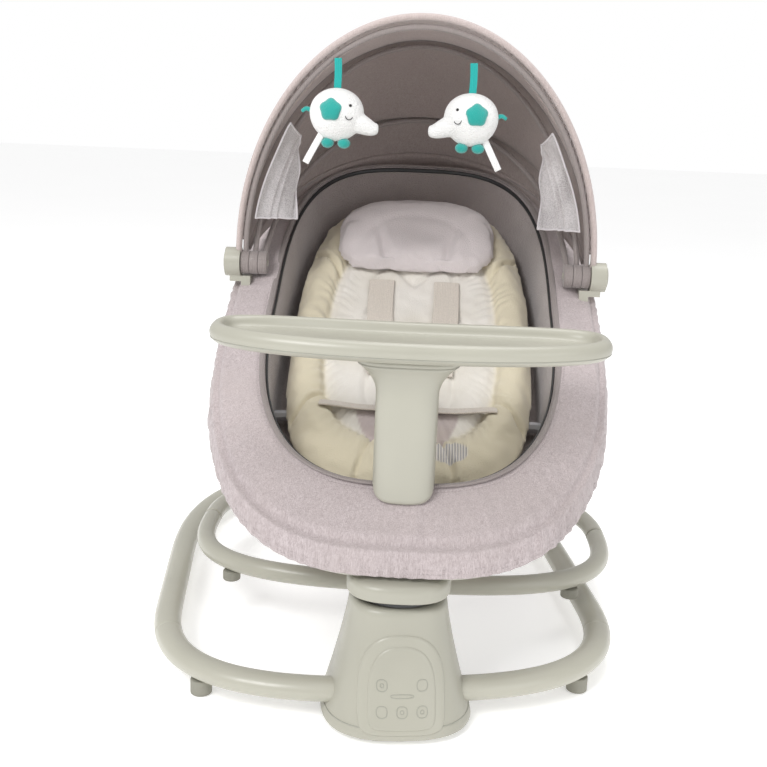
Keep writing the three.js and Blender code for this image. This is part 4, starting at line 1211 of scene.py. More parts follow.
    def _tubes(self) -> None:
        """The two front tubes, the rear tube, their joint sleeves and the rubber feet."""
        seam = self.ring.angle_at(self.seam_y)
        gap_angle = 0.004
        near = -math.pi / 2 + 0.115
        spans = {
            "ring_front_right": (near, seam - gap_angle),
            "ring_front_left": (math.pi - seam + gap_angle, math.pi * 1.5 - 0.115),
            "ring_rear": (seam + gap_angle, math.pi - seam - gap_angle),
        }
        for node, (start, end) in spans.items():
            path = self._ring_path(start, end, 240 if node == "ring_rear" else 90)
            rings = with_ends(swept(path, *self.tube_half, 32, Z_AXIS), 0.0015, 0.013)
            piece = Shape().grid(rings, False, True).build(node + "_tube", self.finishes.tube)
            settle(piece, "base", "tube", node)
        for side, middle in ((Side.RIGHT, seam), (Side.LEFT, math.pi - seam)):
            path = self._ring_path(middle - 0.012, middle + 0.012, 8)
            rings = with_ends(swept(path, 0.0148, 0.0118, 32, Z_AXIS), 0.001, 0.012)
            core = Shape().grid(rings, False, True).build("ring_joint_" + side.word, self.finishes.rubber)
            settle(core, "base", "rubber")
        for corner in ("front_left", "front_right", "rear_left", "rear_right"):
            node = "ring_foot_" + corner
            low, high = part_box(node)
            profile = rounded_profile((high.x - low.x) / 2, 0.0, high.z, 0.0015)
            middle = np.array([(low.x + high.x) / 2, (low.y + high.y) / 2, 0])
            foot = Shape().grid(turned(profile, 40) + middle, False, True)
            piece = foot.build("ring_pad_" + corner, self.finishes.rubber)
            settle(piece, "base", "rubber", node)

    def _inside(self) -> None:
        """Materials for what the housing holds."""
        dress(self.finishes.dark, "power_inlet", "speaker", "shaft_bush")
        dress(self.finishes.shell, "housing_base_plate")
        dress(self.finishes.copper, "drive_coil")
        dress(self.finishes.board, "circuit_board")


# ------------------------------------------------------------------ seat frame


@dataclass
class Chassis:
    """The cap on the shaft, the beam, the leg loop and the rim under the cover."""

    finishes: Finishes
    rim: PlanOval = PlanOval(0.240, -0.044, 0.298, 0.298, 0.640, 3.0, 3.2)
    legs: PlanOval = PlanOval(0.265, 0.148, 0.334, 0.334, 0.520, 3.0, 2.4)
    rim_inset: float = 0.020
    rim_drop: float = 0.023
    rim_half: tuple = (0.012, 0.0175)
    leg_z: float = 0.075
    leg_radius: float = 0.012

    def build(self) -> None:
        """Builds the frame under the seat."""
        self._cap()
        self._rim()
        self._leg_loop()
        rigid = {
            "chassis_beam": (self.finishes.shell, "shell", 0.0015),
            "tray_socket": (self.finishes.shell, "shell", 0.0008),
            "rear_strut_left": (self.finishes.tube, "tube", 0.0008),
            "rear_strut_right": (self.finishes.tube, "tube", 0.0008),
        }
        for node, (material, slot, bevel) in rigid.items():
            settle(refined(node, material, bevel), "seat_frame", slot, node)
        dress(self.finishes.steel, "swing_shaft", "recline_bar")
        dress(self.finishes.dark, "magnet_arm", "backrest_board")
        settle(
            refined("backrest_frame", self.finishes.tube, 0.0006), "backrest", "tube", "backrest_frame"
        )

    def _cap(self) -> None:
        """The crowned cap: a squared oval with a rounded shoulder and a hollow underside."""
        keys = [
            (0.146, 0.016), (0.1425, 0.010), (0.1403, 0.004), (0.140, 0.0018), (0.1412, 0.0003),
            (0.146, 0.0), (0.152, 0.0002), (0.1555, 0.0016), (0.1578, 0.0045), (0.1592, 0.009),
            (0.1606, 0.016), (0.1618, 0.026), (0.1626, 0.038),
        ]
        rings = [oval_ring(0.056 - i, 0.054 - i, 2.7, z, 128) for z, i in keys]
        drum = turned(rounded_profile(0.047, 0.1335, 0.1455, 0.001), 64)
        collar = Shape().grid(drum, False, True).build("cap_gap_shroud", self.finishes.dark)
        settle(collar, "seat_frame", "dark_plastic")
        low, top = np.zeros((128, 3)) + [0, 0, 0.146], np.zeros((128, 3)) + [0, 0, 0.163]
        stack = np.concatenate([low[None], through_rings(np.stack(rings), 60), top[None]])
        piece = Shape().grid(stack, False, True).build("cap_skin", self.finishes.shell)
        settle(piece, "seat_frame", "shell", "head_cap")

    def _rim(self) -> None:
        """The oval tube that the cover is stretched on, in two halves."""
        halves = (
            ("rim_frame_front", -math.pi - 0.095, 0.095),
            ("rim_frame_rear", 0.105, math.pi - 0.105),
        )
        for node, first, last in halves:
            angle = even_angles(self.rim.at, 200, first, last)
            x, y = self.rim.at(angle, self.rim_inset)
            _, outer_y = self.rim.at(angle)
            path = np.stack([x, y, seat_top_z(outer_y) - self.rim_drop], -1)
            rings = with_ends(swept(path, *self.rim_half, 24, Z_AXIS), 0.0015, 0.012)
            piece = Shape().grid(rings, False, True).build(node + "_tube", self.finishes.tube)
            settle(piece, "seat_frame", "tube", node)

    def _leg_loop(self) -> None:
        """The loop under the seat in two bent tubes, with its four small feet."""
        for node, start in (("leg_loop_front", -math.pi), ("leg_loop_rear", 0.0)):
            angle = even_angles(self.legs.at, 160, start + 0.003, start + math.pi - 0.003)
            x, y = self.legs.at(angle)
            path = np.stack([x, y, np.full(160, self.leg_z)], -1)
            rings = swept(path, self.leg_radius, self.leg_radius, 28, Z_AXIS)
            rings = with_ends(rings, 0.001, self.leg_radius)
            piece = Shape().grid(rings, False, True).build(node + "_tube", self.finishes.tube)
            settle(piece, "seat_frame", "tube", node)
        for corner in ("front_left", "front_right", "rear_left", "rear_right"):
            node = "leg_foot_" + corner
            low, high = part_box(node)
            profile = rounded_profile((high.x - low.x) / 2, low.z, high.z, 0.002)
            middle = np.array([(low.x + high.x) / 2, (low.y + high.y) / 2, 0])
            foot = Shape().grid(turned(profile, 32) + middle, False, True)
            piece = foot.build("leg_pad_" + corner, self.finishes.rubber)
            settle(piece, "seat_frame", "rubber", node)


# ------------------------------------------------------------------ seat cover


@dataclass
class SeatCover:
    """The knitted cover: hem, gathered wall, wide band, zip, inner wall and floor."""

    finishes: Finishes
    plan: PlanOval = PlanOval(0.240, -0.044, 0.298, 0.298, 0.640, 3.0, 3.2)
    columns: int = 320
    rows: int = 150
    band: float = 0.060
    crown: float = 0.012
    cloth: float = 0.003
    rim_drop: float = 0.023
    hem_drop: float = 0.031
    hem_row: float = 11.0
    crease_row: float = 15.0
    binding_row: float = 18.0

    def __post_init__(self) -> None:
        """Works out the angles of the columns and how far along the edge each one is."""
        self.angle = even_angles(self.plan.at, self.columns, -math.pi / 2, 1.5 * math.pi)
        x, y = self.plan.at(self.angle)
        step = np.hypot(x - np.roll(x, 1), y - np.roll(y, 1))
        self.along = np.cumsum(step)
        self.length = float(step.sum())

    def _wrap(self, inset: float, drop: float) -> np.ndarray:
        """A ring that hangs a fixed drop below the edge."""
        x, y = self.plan.at(self.angle, inset)
        _, outer = self.plan.at(self.angle)
        return np.stack([x, y, seat_top_z(outer) - drop], -1)

    def _band(self, inset: float, lift: float) -> np.ndarray:
        """A ring on the band, which rises inwards by its crown."""
        x, y = self.plan.at(self.angle, inset)
        _, outer = self.plan.at(self.angle)
        edge = seat_top_z(np.maximum(y, outer))
        return np.stack([x, y, edge + self.crown * inset / self.band + lift], -1)

    def _floor(self, inset: float, lift: float) -> np.ndarray:
        """A ring on the floor under the liner."""
        x, y = self.plan.at(self.angle, inset)
        return np.stack([x, y, np.minimum(liner_z(y) - 0.052, seat_top_z(y)) + lift], -1)

    def _pole(self, lift: float) -> np.ndarray:
        """The innermost ring, drawn together on the seat's middle."""
        return np.broadcast_to(self._floor(0.20, lift).mean(axis=0), (self.columns, 3))

    def build(self) -> None:
        """Builds the cover and what is sewn to it."""
        t, band, half = self.cloth, self.band, self.band / 2
        under = [
            self._pole(-t), self._floor(0.200, -t), self._floor(0.150, -t), self._floor(band + 0.026, -t),
            self._floor(band + 0.011, 0.008), self._band(band + 0.004, -0.020), self._band(band - t, -t),
            self._band(half + 0.002, -t), self._wrap(0.012, t - 0.001), self._wrap(t + 0.0014, 0.012),
            self._wrap(t, self.rim_drop),
        ]
        hem = [self._wrap(t + 0.001, self.hem_drop), self._wrap(0.001, self.hem_drop)]
        upper = [
            self._wrap(0.0, self.rim_drop), self._wrap(0.0014, 0.011), self._wrap(0.009, -0.001),
            self._band(half, 0.002), self._band(band - 0.004, 0.001), self._band(band + 0.001, -t),
            self._band(band + 0.008, -0.020), self._floor(band + 0.015, 0.010),
            self._floor(band + 0.028, 0.0), self._floor(0.150, 0.0), self._floor(0.200, 0.0), self._pole(0.0),
        ]
        keys = np.stack(under + hem + upper)
        grid = through_rings(keys, self.rows)
        row = np.linspace(0, len(keys) - 1, self.rows)[:, None]
        normals = grid_normals(grid, True)
        outwards = np.sign((normals[self.rows // 2] * (grid[self.rows // 2] - grid.mean((0, 1)))).sum())
        grid = grid + normals * outwards * self._relief(grid, row)[..., None]
        slots = np.where(row[:-1, 0] < self.hem_row - 1, 1, np.where(row[:-1, 0] < 18.2, 0, 2))
        cover = Shape().grid(grid, False, True, slots)
        piece = cover.build("cover_cloth", self.finishes.knit, self.finishes.lining, self.finishes.mesh_lining)
        settle(piece, "seat_frame", "melange", "seat_cover")
        declare_cloth(piece, 0.62, "stretched", rests_on=["rim_frame_front"])
        self._trim()

    def _relief(self, grid: np.ndarray, row: np.ndarray) -> np.ndarray:
        """Height of the cloth over its smooth form.

        The wall below the crease is gathered as a sine along the edge, whose phase wanders. The
        crease and the joins are bell-shaped grooves, and the band has soft long waves.

        Args:
            grid: the smooth form.
            row: each row's place in the list of key rings.

        Returns:
            The heights, shape (rows, columns).
        """
        wander = waves(grid, 0.09, 3)
        wall = smooth_step(11.2, 12.6, row) * (1 - smooth_step(14.4, 15.4, row))
        gather = np.sin(self.along[None] * FULL_TURN / 0.0155 + 3.2 * wander)
        height = wall * gather * (0.0012 + 0.0014 * np.abs(waves(grid, 0.15, 5)))
        front = smooth_step(15.0, 15.4, row) * (1 - smooth_step(16.0, 16.8, row))
        height += front * np.sin(self.along[None] * FULL_TURN / 0.021 + 4 * wander) * 0.0012
        height = height - 0.0042 * groove(row - self.crease_row, 0.14)
        height += 0.0026 * groove(row - self.crease_row + 0.40, 0.22)
        height += 0.0022 * groove(row - self.crease_row - 0.30, 0.20)
        band = smooth_step(15.2, 16.2, row) * (1 - smooth_step(17.4, 18.0, row))
        height += band * (waves(grid, 0.07, 8) * 0.0018 + waves(grid, 0.16, 9) * 0.0026)
        seams = np.array([0.030, 0.305, -0.262, 0.93, -0.93]) % self.length
        apart = np.abs(self.along[None, :, None] - seams)
        apart = np.minimum(apart, self.length - apart).min(-1)
        joins = smooth_step(11.4, 12, row) * (1 - smooth_step(17.4, 18.0, row))
        height -= joins * groove(apart, 0.0028) * 0.0016
        height += joins * groove(apart - 0.007, 0.005) * 0.0008
        inside = smooth_step(18.4, 19.0, row)
        return np.maximum(height + inside * waves(grid, 0.05, 12) * 0.0012, -0.0022)

    def _trim(self) -> None:
        """The folded binding, the zip beside it and the rows of stitches."""
        inner = self._band(self.band - 0.001, 0.0008)
        binding = swept_loop(inner, 0.0036, 0.0021, 14, Z_AXIS)
        piece = Shape().grid(binding, True, True).build("cover_binding_edge", self.finishes.binding)
        settle(piece, "seat_frame", "melange")
        zip_path = self._band(self.band + 0.0045, -0.0065)
        teeth = swept_loop(zip_path, 0.0016, 0.0030, 10, Z_AXIS)
        piece = Shape().grid(teeth, True, True).build("cover_zip", self.finishes.dark)
        settle(piece, "seat_frame", "melange")
        x, y = self.plan.at(self.angle)
        step = np.stack([np.roll(x, -1) - np.roll(x, 1), np.roll(y, -1) - np.roll(y, 1)], -1)
        outward = unit(np.stack([step[:, 1], -step[:, 0], np.zeros(self.columns)], -1))
        for name, drop in (("hem_stitch_low", 0.0265), ("hem_stitch_high", 0.0215)):
            path = self._wrap(-0.0001, drop)
            settle(stitches(path, outward, name, self.finishes.thread), "seat_frame", "melange")
        edge = stitches(self._band(self.band - 0.0075, 0.0022), np.broadcast_to(Z_AXIS, inner.shape),
                        "binding_stitch", self.finishes.thread)
        settle(edge, "seat_frame", "melange")


# ------------------------------------------------------------------ padding and harness


@dataclass
class Liner:
    """The quilted pad: a lobed cream border round a white middle."""

    finishes: Finishes
    half: tuple = (0.163, 0.252)
    centre_y: float = 0.308
    thickness: float = 0.020
    squareness: float = 2.9
    border_share: float = 0.66

    def build(self) -> None:
        """Shapes the pad, swells it, and sews its channels."""
        angle = even_angles(lambda a: oval(*self.half, self.squareness, a), 200)
        x, y = oval(self.half[0] - 0.004, self.half[1] - 0.004, self.squareness, angle)
        share = np.linspace(0, 1, 30)[:, None]
        grid_x, grid_y = x * share, self.centre_y + y * share
        edge = np.sqrt(np.clip(1 - share**6, 0, 1)) * 0.5 + 0.5
        rise = self._border_rise(share)
        top = liner_z(grid_y) - 0.004 - (1 - edge) * 0.012 + rise
        low = liner_z(grid_y) - self.thickness + (1 - edge) * 0.004
        front = np.stack([grid_x, grid_y, top], -1)
        back = np.stack([grid_x, grid_y, low], -1)[::-1]
        piece = Shape().grid(np.concatenate([front, back]), False, True).build(
            "liner_pad", self.finishes.liner
        )
        inflate(piece, 0.004, 0.0052)
        self._quilt(piece)
        settle(piece, None, "liner", "liner_seat", "liner_back")
        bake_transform(piece)

    def _border_rise(self, share: np.ndarray) -> np.ndarray:
        """How far the border's lobes stand above the middle: a hump of a sine squared."""
        t = np.clip((share - self.border_share) / (1 - self.border_share), 0, 1)
        return 0.011 * np.sin(math.pi * t) ** 1.2

    def _share(self, points: np.ndarray) -> np.ndarray:
        """How far out towards the outline each point lies: the oval's own measure."""
        x, y = points[:, 0] / self.half[0], (points[:, 1] - self.centre_y) / self.half[1]
        return (np.abs(x) ** self.squareness + np.abs(y) ** self.squareness) ** (1 / self.squareness)

    def _quilt(self, piece: bpy.types.Object) -> None:
        """Sewn channels with fine puckers beside them, and the masks of the cloth's zones."""
        points, normals = vertex_array(piece), vertex_normals(piece)
        share = self._share(points)
        upper = np.clip(normals[:, 2] * 2, 0, 1)
        round_way = np.arctan2((points[:, 1] - self.centre_y) / self.half[1], points[:, 0] / self.half[0])
        lobes = np.abs(np.sin(round_way * 5.0 + 0.35 * np.sin(2 * round_way)))
        border = smooth_step(self.border_share - 0.02, self.border_share + 0.02, share)
        seam = groove(share - self.border_share, 0.032)
        radial = border * groove(lobes, 0.085)
        petal = 0.42 + 0.07 * np.cos(6 * round_way)
        inner = groove(share - petal, 0.026)
        pucker = np.sin(round_way * 84 + 5 * waves(points, 0.07, 21))
        near = groove(share - self.border_share, 0.12) + 0.7 * border * groove(lobes, 0.3)
        depth = -0.0060 * seam - 0.0058 * radial - 0.0036 * inner
        depth += 0.0010 * pucker * near + 0.0016 * waves(points, 0.055, 22) * border
        depth += 0.0008 * waves(points, 0.03, 23)
        keep_cloth_places(piece)
        move_vertices(piece, points + normals * (depth * upper)[:, None])
        bean = np.hypot(points[:, 0] / 0.062, (points[:, 1] - 0.150 - 8 * points[:, 0] ** 2) / 0.036)
        patch = np.hypot((points[:, 0] - 0.048) / 0.024, (points[:, 1] - 0.112) / 0.018)
        paint_mask(piece, "border", border)
        paint_mask(piece, "insert", (1 - smooth_step(0.95, 1.03, bean)) * upper)
        paint_mask(piece, "ribbed", (1 - smooth_step(0.95, 1.03, patch)) * upper)


@dataclass
class HeadPillow:
    """The bean-shaped head pillow: three puffs below and a hollow in its middle."""

    finishes: Finishes
    centre_y: float = 0.459
    half: tuple = (0.116, 0.062)
    rise: float = 0.023
    hollow: tuple = (0.0, 0.448)

    def build(self) -> None:
        """Shapes the pillow, swells it and presses its hollow and channels in."""
        angle = even_angles(self._outline, 160)
        x, y = self._outline(angle)
        share = np.linspace(0, 1, 24)[:, None]
        grid_x, grid_y = x * share, self.centre_y + y * share
        crown = self.rise * np.sqrt(np.clip(1 - share**4, 0, 1))
        top = liner_z(grid_y) + 0.009 + crown
        low = liner_z(grid_y) + 0.005 + 0.003 * share**4
        grid = np.concatenate(
            [np.stack([grid_x, grid_y, top], -1), np.stack([grid_x, grid_y, low], -1)[::-1]]
        )
        piece = Shape().grid(grid, False, True).build("pillow_pad", self.finishes.pillow)
        inflate(piece, 0.006, 0.0045)
        points, normals = vertex_array(piece), vertex_normals(piece)
        upper = np.clip(normals[:, 2] * 2, 0, 1)
        px, py = points[:, 0], points[:, 1]
        dent = 0.010 * np.exp(-((px / 0.040) ** 2) - ((py - self.hollow[1]) / 0.026) ** 2)
        lower = 1 - smooth_step(0.425, 0.462, py)
        channels = groove(np.abs(px) - 0.040 - 0.25 * (py - 0.40), 0.0065) * lower
        arc = groove(np.hypot(px / 1.35, py - 0.415) - 0.055, 0.005) * 0.5
        puckers = np.sin(px * 420 + 4 * waves(points, 0.05, 31)) * (1 - smooth_step(0.40, 0.43, py))
        depth = -dent - 0.0065 * channels - 0.003 * arc + 0.0004 * puckers + 0.0016 * waves(points, 0.05, 32)
        keep_cloth_places(piece)
        move_vertices(piece, points + normals * (depth * upper)[:, None])
        settle(piece, "backrest", "pillow", "head_pillow")

    def _outline(self, angle: np.ndarray) -> tuple:
        """A rounded oval whose lower side is squarer and has three shallow scallops."""
        below = np.sin(angle) < 0
        power = 2 / np.where(below, 3.6, 2.5)
        c, s = np.cos(angle), np.sin(angle)
        x = np.sign(c) * self.half[0] * np.abs(c) ** power
        y = np.sign(s) * self.half[1] * np.abs(s) ** power
        scallop = 0.004 * np.abs(np.cos(x / self.half[0] * math.pi * 1.5)) * smooth_step(0.1, 0.6, -s)
        return x, y - scallop + 0.003 * smooth_step(0.1, 0.6, -s)


@dataclass
class Harness:
    """Shoulder, waist and crotch webbing, the strap adjusters, and the buckle with its release button."""

    finishes: Finishes
    strap_half: tuple = (0.017, 0.0014)
    buckle_y: float = 0.184

    def build(self) -> None:
        """Builds the harness."""
        for side in Side:
            self._shoulder(side)
        y = np.linspace(0.110, 0.192, 30)
        crotch = self._ribbon(np.stack([0 * y, y, liner_z(y) + 0.003], -1), X_AXIS)
        x = np.linspace(-0.107, 0.107, 50)
        level = liner_z(self.buckle_y + 0 * x) + 0.0035 + 0.004 * smooth_step(0.05, 0.105, np.abs(x))
        waist = self._ribbon(np.stack([x, self.buckle_y + 0 * x, level], -1), Y_AXIS, 0.0098)
        lower = Shape().grid(crotch, False, True).grid(waist, False, True)
        settle(lower.build("waist_webbing", self.finishes.webbing), "seat_frame", "webbing", "lower_harness")
        settle(
            refined("harness_buckle", self.finishes.dark, 0.0014), "seat_frame", "dark_plastic",
            "harness_buckle",
        )
        settle(
            refined("buckle_button", self.finishes.shell, 0.0006), "buckle_release", "dark_plastic",
            "buckle_button",
        )

    def _ribbon(self, path: np.ndarray, across: np.ndarray, half: float | None = None) -> np.ndarray:
        """A flat strap along a path: a squared oval section, widest along the given direction."""
        tangent = unit(np.gradient(path, axis=0))
        side = unit(across - (tangent @ across)[:, None] * tangent)
        up = np.cross(side, tangent)
        angle = np.linspace(0, FULL_TURN, 28, endpoint=False)
        a, b = oval(half or self.strap_half[0], self.strap_half[1], 5, angle)
        rings = path[:, None] + a[None, :, None] * side[:, None] + b[None, :, None] * up[:, None]
        return with_ends(rings, 0.0006, self.strap_half[0])

    def _shoulder(self, side: Side) -> None:
        """One shoulder strap, from under the pillow towards the buckle, with its adjuster."""
        y = np.linspace(0.2405, 0.396, 60)
        x = side.value * (0.044 - 0.007 * (1 - smooth_step(0.24, 0.36, y)))
        height = liner_z(y) + 0.0035 + 0.0015 * np.sin((y - 0.24) / 0.155 * math.pi)
        rings = self._ribbon(np.stack([x, y, height], -1), X_AXIS)
        strap = Shape().grid(rings, False, True).build("strap_" + side.word, self.finishes.webbing)
        settle(strap, "backrest", "webbing", "shoulder_strap_" + side.word)
        slide_y = 0.292
        middle = np.array([x[20], slide_y, float(liner_z(np.array(slide_y))) + 0.0052])
        lean = math.atan(0.496)
        angle = np.linspace(0, FULL_TURN, 48, endpoint=False)
        a, b = oval(0.0195, 0.011, 5, angle)
        loop = np.stack([a, b * math.cos(lean), b * math.sin(lean)], -1) + middle
        frame_rings = swept_loop(loop, 0.0019, 0.0016, 10, Z_AXIS)
        adjuster = Shape().grid(frame_rings, True, True).build(
            "strap_adjuster_" + side.word, self.finishes.dark
        )
        settle(adjuster, "backrest", "dark_plastic")


# ------------------------------------------------------------------ hood


@dataclass
class Hood:
    """The folding hood: wire bows, three gores of one continuous curve, its rim and nets."""

    finishes: Finishes
    front: float = 11.0
    middle: float = -20.5
    rear: float = -52.0
    hem: float = -64.0
    half_width: float = 0.231
    height: float = 0.3165
    narrowing: float = 0.008
    start: float = 5.6

    def build(self) -> None:
        """Builds the hood."""
        self._gore("hood_shell_rear", self.rear, self.hem, "seat_frame", "hood_rear_panel", 14)
        middle = self._gore("hood_shell_middle", self.middle, self.rear, None, "hood_middle_gore", 44)
        front = self._gore("hood_shell_front", self.front, self.middle, None, "hood_front_gore", 44)
        self._seam(self.rear)
        self._seam(self.middle)
        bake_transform(middle)
        self._seam(self.middle)
        self._seam(self.front)
        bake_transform(front)
        self._rim()
        self._bows()
        self._nets()

    def _seam(self, lean: float) -> tuple:
        """The top of the hood at a lean."""
        return tuple(float(v) for v in hood_point(0.0, self.height, np.array(90.0), np.array(lean)))

    def _size(self, lean: np.ndarray) -> tuple:
        """Half width and height at a lean: both shrink a little towards the rear.

        The cloth sags by a sine between one bow and the next.
        """
        share = (self.front - lean) / (self.front - self.hem)
        sag_front = np.sin(math.pi * np.clip((self.front - lean) / (self.front - self.middle), 0, 1))
        sag_rear = np.sin(math.pi * np.clip((self.middle - lean) / (self.middle - self.rear), 0, 1))
        sag = 0.0042 * sag_front + 0.0036 * sag_rear
        return self.half_width - self.narrowing * share - 0.4 * sag, self.height - self.narrowing * share - sag

    def _surface(self, way: np.ndarray, lean: np.ndarray, inset: float) -> np.ndarray:
        """The shell's surface at an inset, with soft wrinkles that run from bow to bow."""
        half, height = self._size(lean)
        points = hood_point(half - inset, height - inset, way, lean)
        out = unit(points - np.array([0, 0.33, 0.434]))
        between = np.sin(math.pi * np.clip((self.front - lean) / (self.front - self.middle), 0, 1)) ** 0.5
        crumple = waves(points, 0.11, 41) * 0.0018 + waves(points, 0.045, 42) * 0.0008
        return points + out * (crumple * (0.35 + 0.65 * between))[..., None]

    def _gore(
        self, name: str, fore: float, aft: float, body: str | None, node: str, rows: int
    ) -> bpy.types.Object:
        """One gore as a closed skin: outer face, then inner face, joined at every edge."""
        # Painted light: the front gore's inside takes the lighter band cloth as a painted highlight where the
        # hood's front is lit, partly a lighter band of cloth; the middle and rear gores keep the plain lining.
        lining = self.finishes.band_and_lit_lining if fore == self.front else self.finishes.lining
        way = np.linspace(self.start, 180 - self.start, 180)[None]
        lean = np.linspace(fore, aft, rows)[:, None]
        outer = self._surface(way + 0 * lean, lean + 0 * way, 0.0)
        thin = np.full(way.shape[1], 0.0016)
        thin[[0, -1]] = 0.0
        out = unit(outer - np.array([0, 0.33, 0.434]))
        inner = (outer - out * thin[None, :, None])[::-1]
        slots = np.concatenate([np.zeros(rows, int), np.ones(rows, int)])
        piece = Shape().grid(np.concatenate([outer, inner]), True, False, slots).build(
            name, self.finishes.knit, lining
        )
        settle(piece, body, "melange", node)
        declare_cloth(piece, 0.72, "stretched")
        return piece

    def _rim(self) -> None:
        """The bound front edge, the gathered band behind it and the seams over the bows."""
        way = np.linspace(2.5, 177.5, 260)
        path = hood_point(0.2300, 0.3150, way, np.full(260, self.front + 0.35))
        edge = with_ends(swept(path, 0.0040, 0.0062, 18, Y_AXIS), 0.001, 0.004)
        piece = Shape().grid(edge, False, True).build("hood_rim_binding", self.finishes.band_and_lit_lining)
        settle(piece, "hood_front", "melange")
        fine = np.linspace(6, 174, 760)[None]
        share = np.linspace(0, 1, 14)[:, None]
        fold = np.sin(fine * 2.6 + 1.5 * np.sin(fine * 0.21)) * 0.0040 * (share * (1.4 - share))
        half, height = 0.2268 - 0.0015 * share + fold, 0.3118 - 0.0015 * share + fold
        band = hood_point(half, height, fine + 0 * share, self.front - 0.2 - 4.4 * share + 0 * fine)
        inner = hood_point(half - 0.0010, height - 0.0010, fine, self.front - 0.2 - 4.4 * share + 0 * fine)
        ruffle = Shape().grid(np.concatenate([band, inner[::-1]]), True, False)
        piece = ruffle.build("hood_rim_gathers", self.finishes.band_and_lit_lining)
        settle(piece, "hood_front", "melange")
        declare_cloth(piece, 0.95, "gathered", 1.25)
        for name, lean, body in (
            ("hood_seam_middle", self.middle, "hood_middle"),
            ("hood_seam_rear", self.rear, "seat_frame"),
        ):
            ways = np.linspace(self.start, 180 - self.start, 240)
            line = self._surface(ways, np.full(240, lean), -0.0006)
            cord = with_ends(swept(line, 0.0030, 0.0016, 12, Y_AXIS), 0.0006, 0.002)
            seam = Shape().grid(cord, False, True).build(name, self.finishes.binding)
            settle(seam, body, "melange")
        ways, leans = np.linspace(12, 168, 120)[None], np.linspace(-63, -71, 8)[:, None]
        fall = 0.306 - 0.0006 * (-63 - leans)
        outer = hood_point(0.2215 + 0 * fall, fall, ways, leans)
        inner = hood_point(0.2200 + 0 * fall, fall - 0.0012, ways, leans)[::-1]
        skirt = Shape().grid(np.concatenate([outer, inner]), True, False)
        piece = skirt.build("hood_rear_skirt", self.finishes.lining)
        settle(piece, "seat_frame", "melange")
        declare_cloth(piece, 0.66, "hung")
        ways = np.linspace(self.start + 0.5, 179.5 - self.start, 240)
        hem = self._surface(ways, np.full(240, self.hem), 0.001)
        cord = with_ends(swept(hem, 0.0024, 0.0030, 12, Y_AXIS), 0.0006, 0.002)
        settle(
            Shape().grid(cord, False, True).build("hood_rear_hem", self.finishes.binding),
            "seat_frame", "melange",
        )
        pocket = self._surface(np.linspace(22, 158, 220), np.full(220, -8.0), 0.0035)
        tape = with_ends(swept(pocket, 0.0032, 0.0011, 12, Y_AXIS), 0.0005, 0.002)
        settle(
            Shape().grid(tape, False, True).build("hood_pocket_tape", self.finishes.band_and_lit_lining),
            "hood_front", "melange",
        )

    def _bows(self) -> None:
        """The wire bows and the turned hinges."""
        bows = (
            ("front_bow", "hood_front", 0, self.front),
            ("middle_bow", "hood_middle", 1, self.middle),
            ("rear_bow", "seat_frame", 2, self.rear),
        )
        for node, body, place, lean in bows:
            outer = 0.227 - 0.0004 - place * 0.0114
            half = outer - 0.0055
            way = np.linspace(2.3, 177.7, 140)
            path = hood_point(half, 0.303, way, np.full(140, lean))
            wire = with_ends(swept(path, 0.0035, 0.0035, 14, Y_AXIS), 0.0005, 0.003)
            shape = Shape().grid(wire, False, True)
            for side in Side:
                hub = laid_along_x(turned(rounded_profile(0.015, -0.0055, 0.0055, 0.001), 40))
                shape.grid(hub + np.array([side.value * half, 0.33, 0.434]), False, True)
            settle(shape.build(node + "_wire", self.finishes.binding), body, "steel", node)
        for side in Side:
            node = "hood_hinge_" + side.word
            settle(refined(node, self.finishes.shell, 0.0012), "seat_frame", "shell", node)
            cap = laid_along_x(turned(rounded_profile(0.0135, -0.001, 0.0016, 0.001), 48))
            cap = cap + np.array([side.value * 0.2475, 0.33, 0.434])
            button = Shape().grid(cap, False, True).build("hinge_cap_" + side.word, self.finishes.panel)
            settle(button, "seat_frame", "shell")

    def _nets(self) -> None:
        """The two gathered nets that hang inside the front of the hood."""
        for side in Side:
            way = np.linspace(12, 40, 90)[:, None]
            drop = (way - 12) / 28
            lean = 9 - 21 * np.linspace(0, 1, 150)[None] * (1 - 0.6 * drop**2)
            fold = np.sin(lean * 1.15 + 1.6 * np.sin(lean * 0.45) + drop * 1.6) * 0.0042
            fold = fold * (1 - smooth_step(0.55, 1.0, drop)) * (0.4 + 0.6 * drop)
            gather = 1 - 0.10 * drop * np.sin(math.pi * (9 - lean) / 21)
            inward = 0.052 * ((9 - lean) / 21) * (1 - 0.35 * drop)
            points = hood_point(
                0.212 - inward + fold, (0.283 + fold) * gather, way + 0 * lean, lean
            )
            if side is Side.RIGHT:
                points = points * np.array([-1.0, 1.0, 1.0])
            net = Shape().grid(points).build("net_" + side.word, self.finishes.net, closed=False)
            settle(net, "hood_front", "net", "net_curtain_" + side.word)
            hem = Shape()
            for line in (points[0], points[-1], points[:, 0], points[:, -1]):
                hem.grid(with_ends(swept(line, 0.0012, 0.0012, 8, X_AXIS), 0.0003, 0.001), False, True)
            border = hem.build("net_hem_" + side.word, self.finishes.net_hem)
            settle(border, "hood_front", "net")
            declare_cloth(net, 0.20, "gathered", 1.15, False, with_pieces=[border])


# ------------------------------------------------------------------ hanging toys


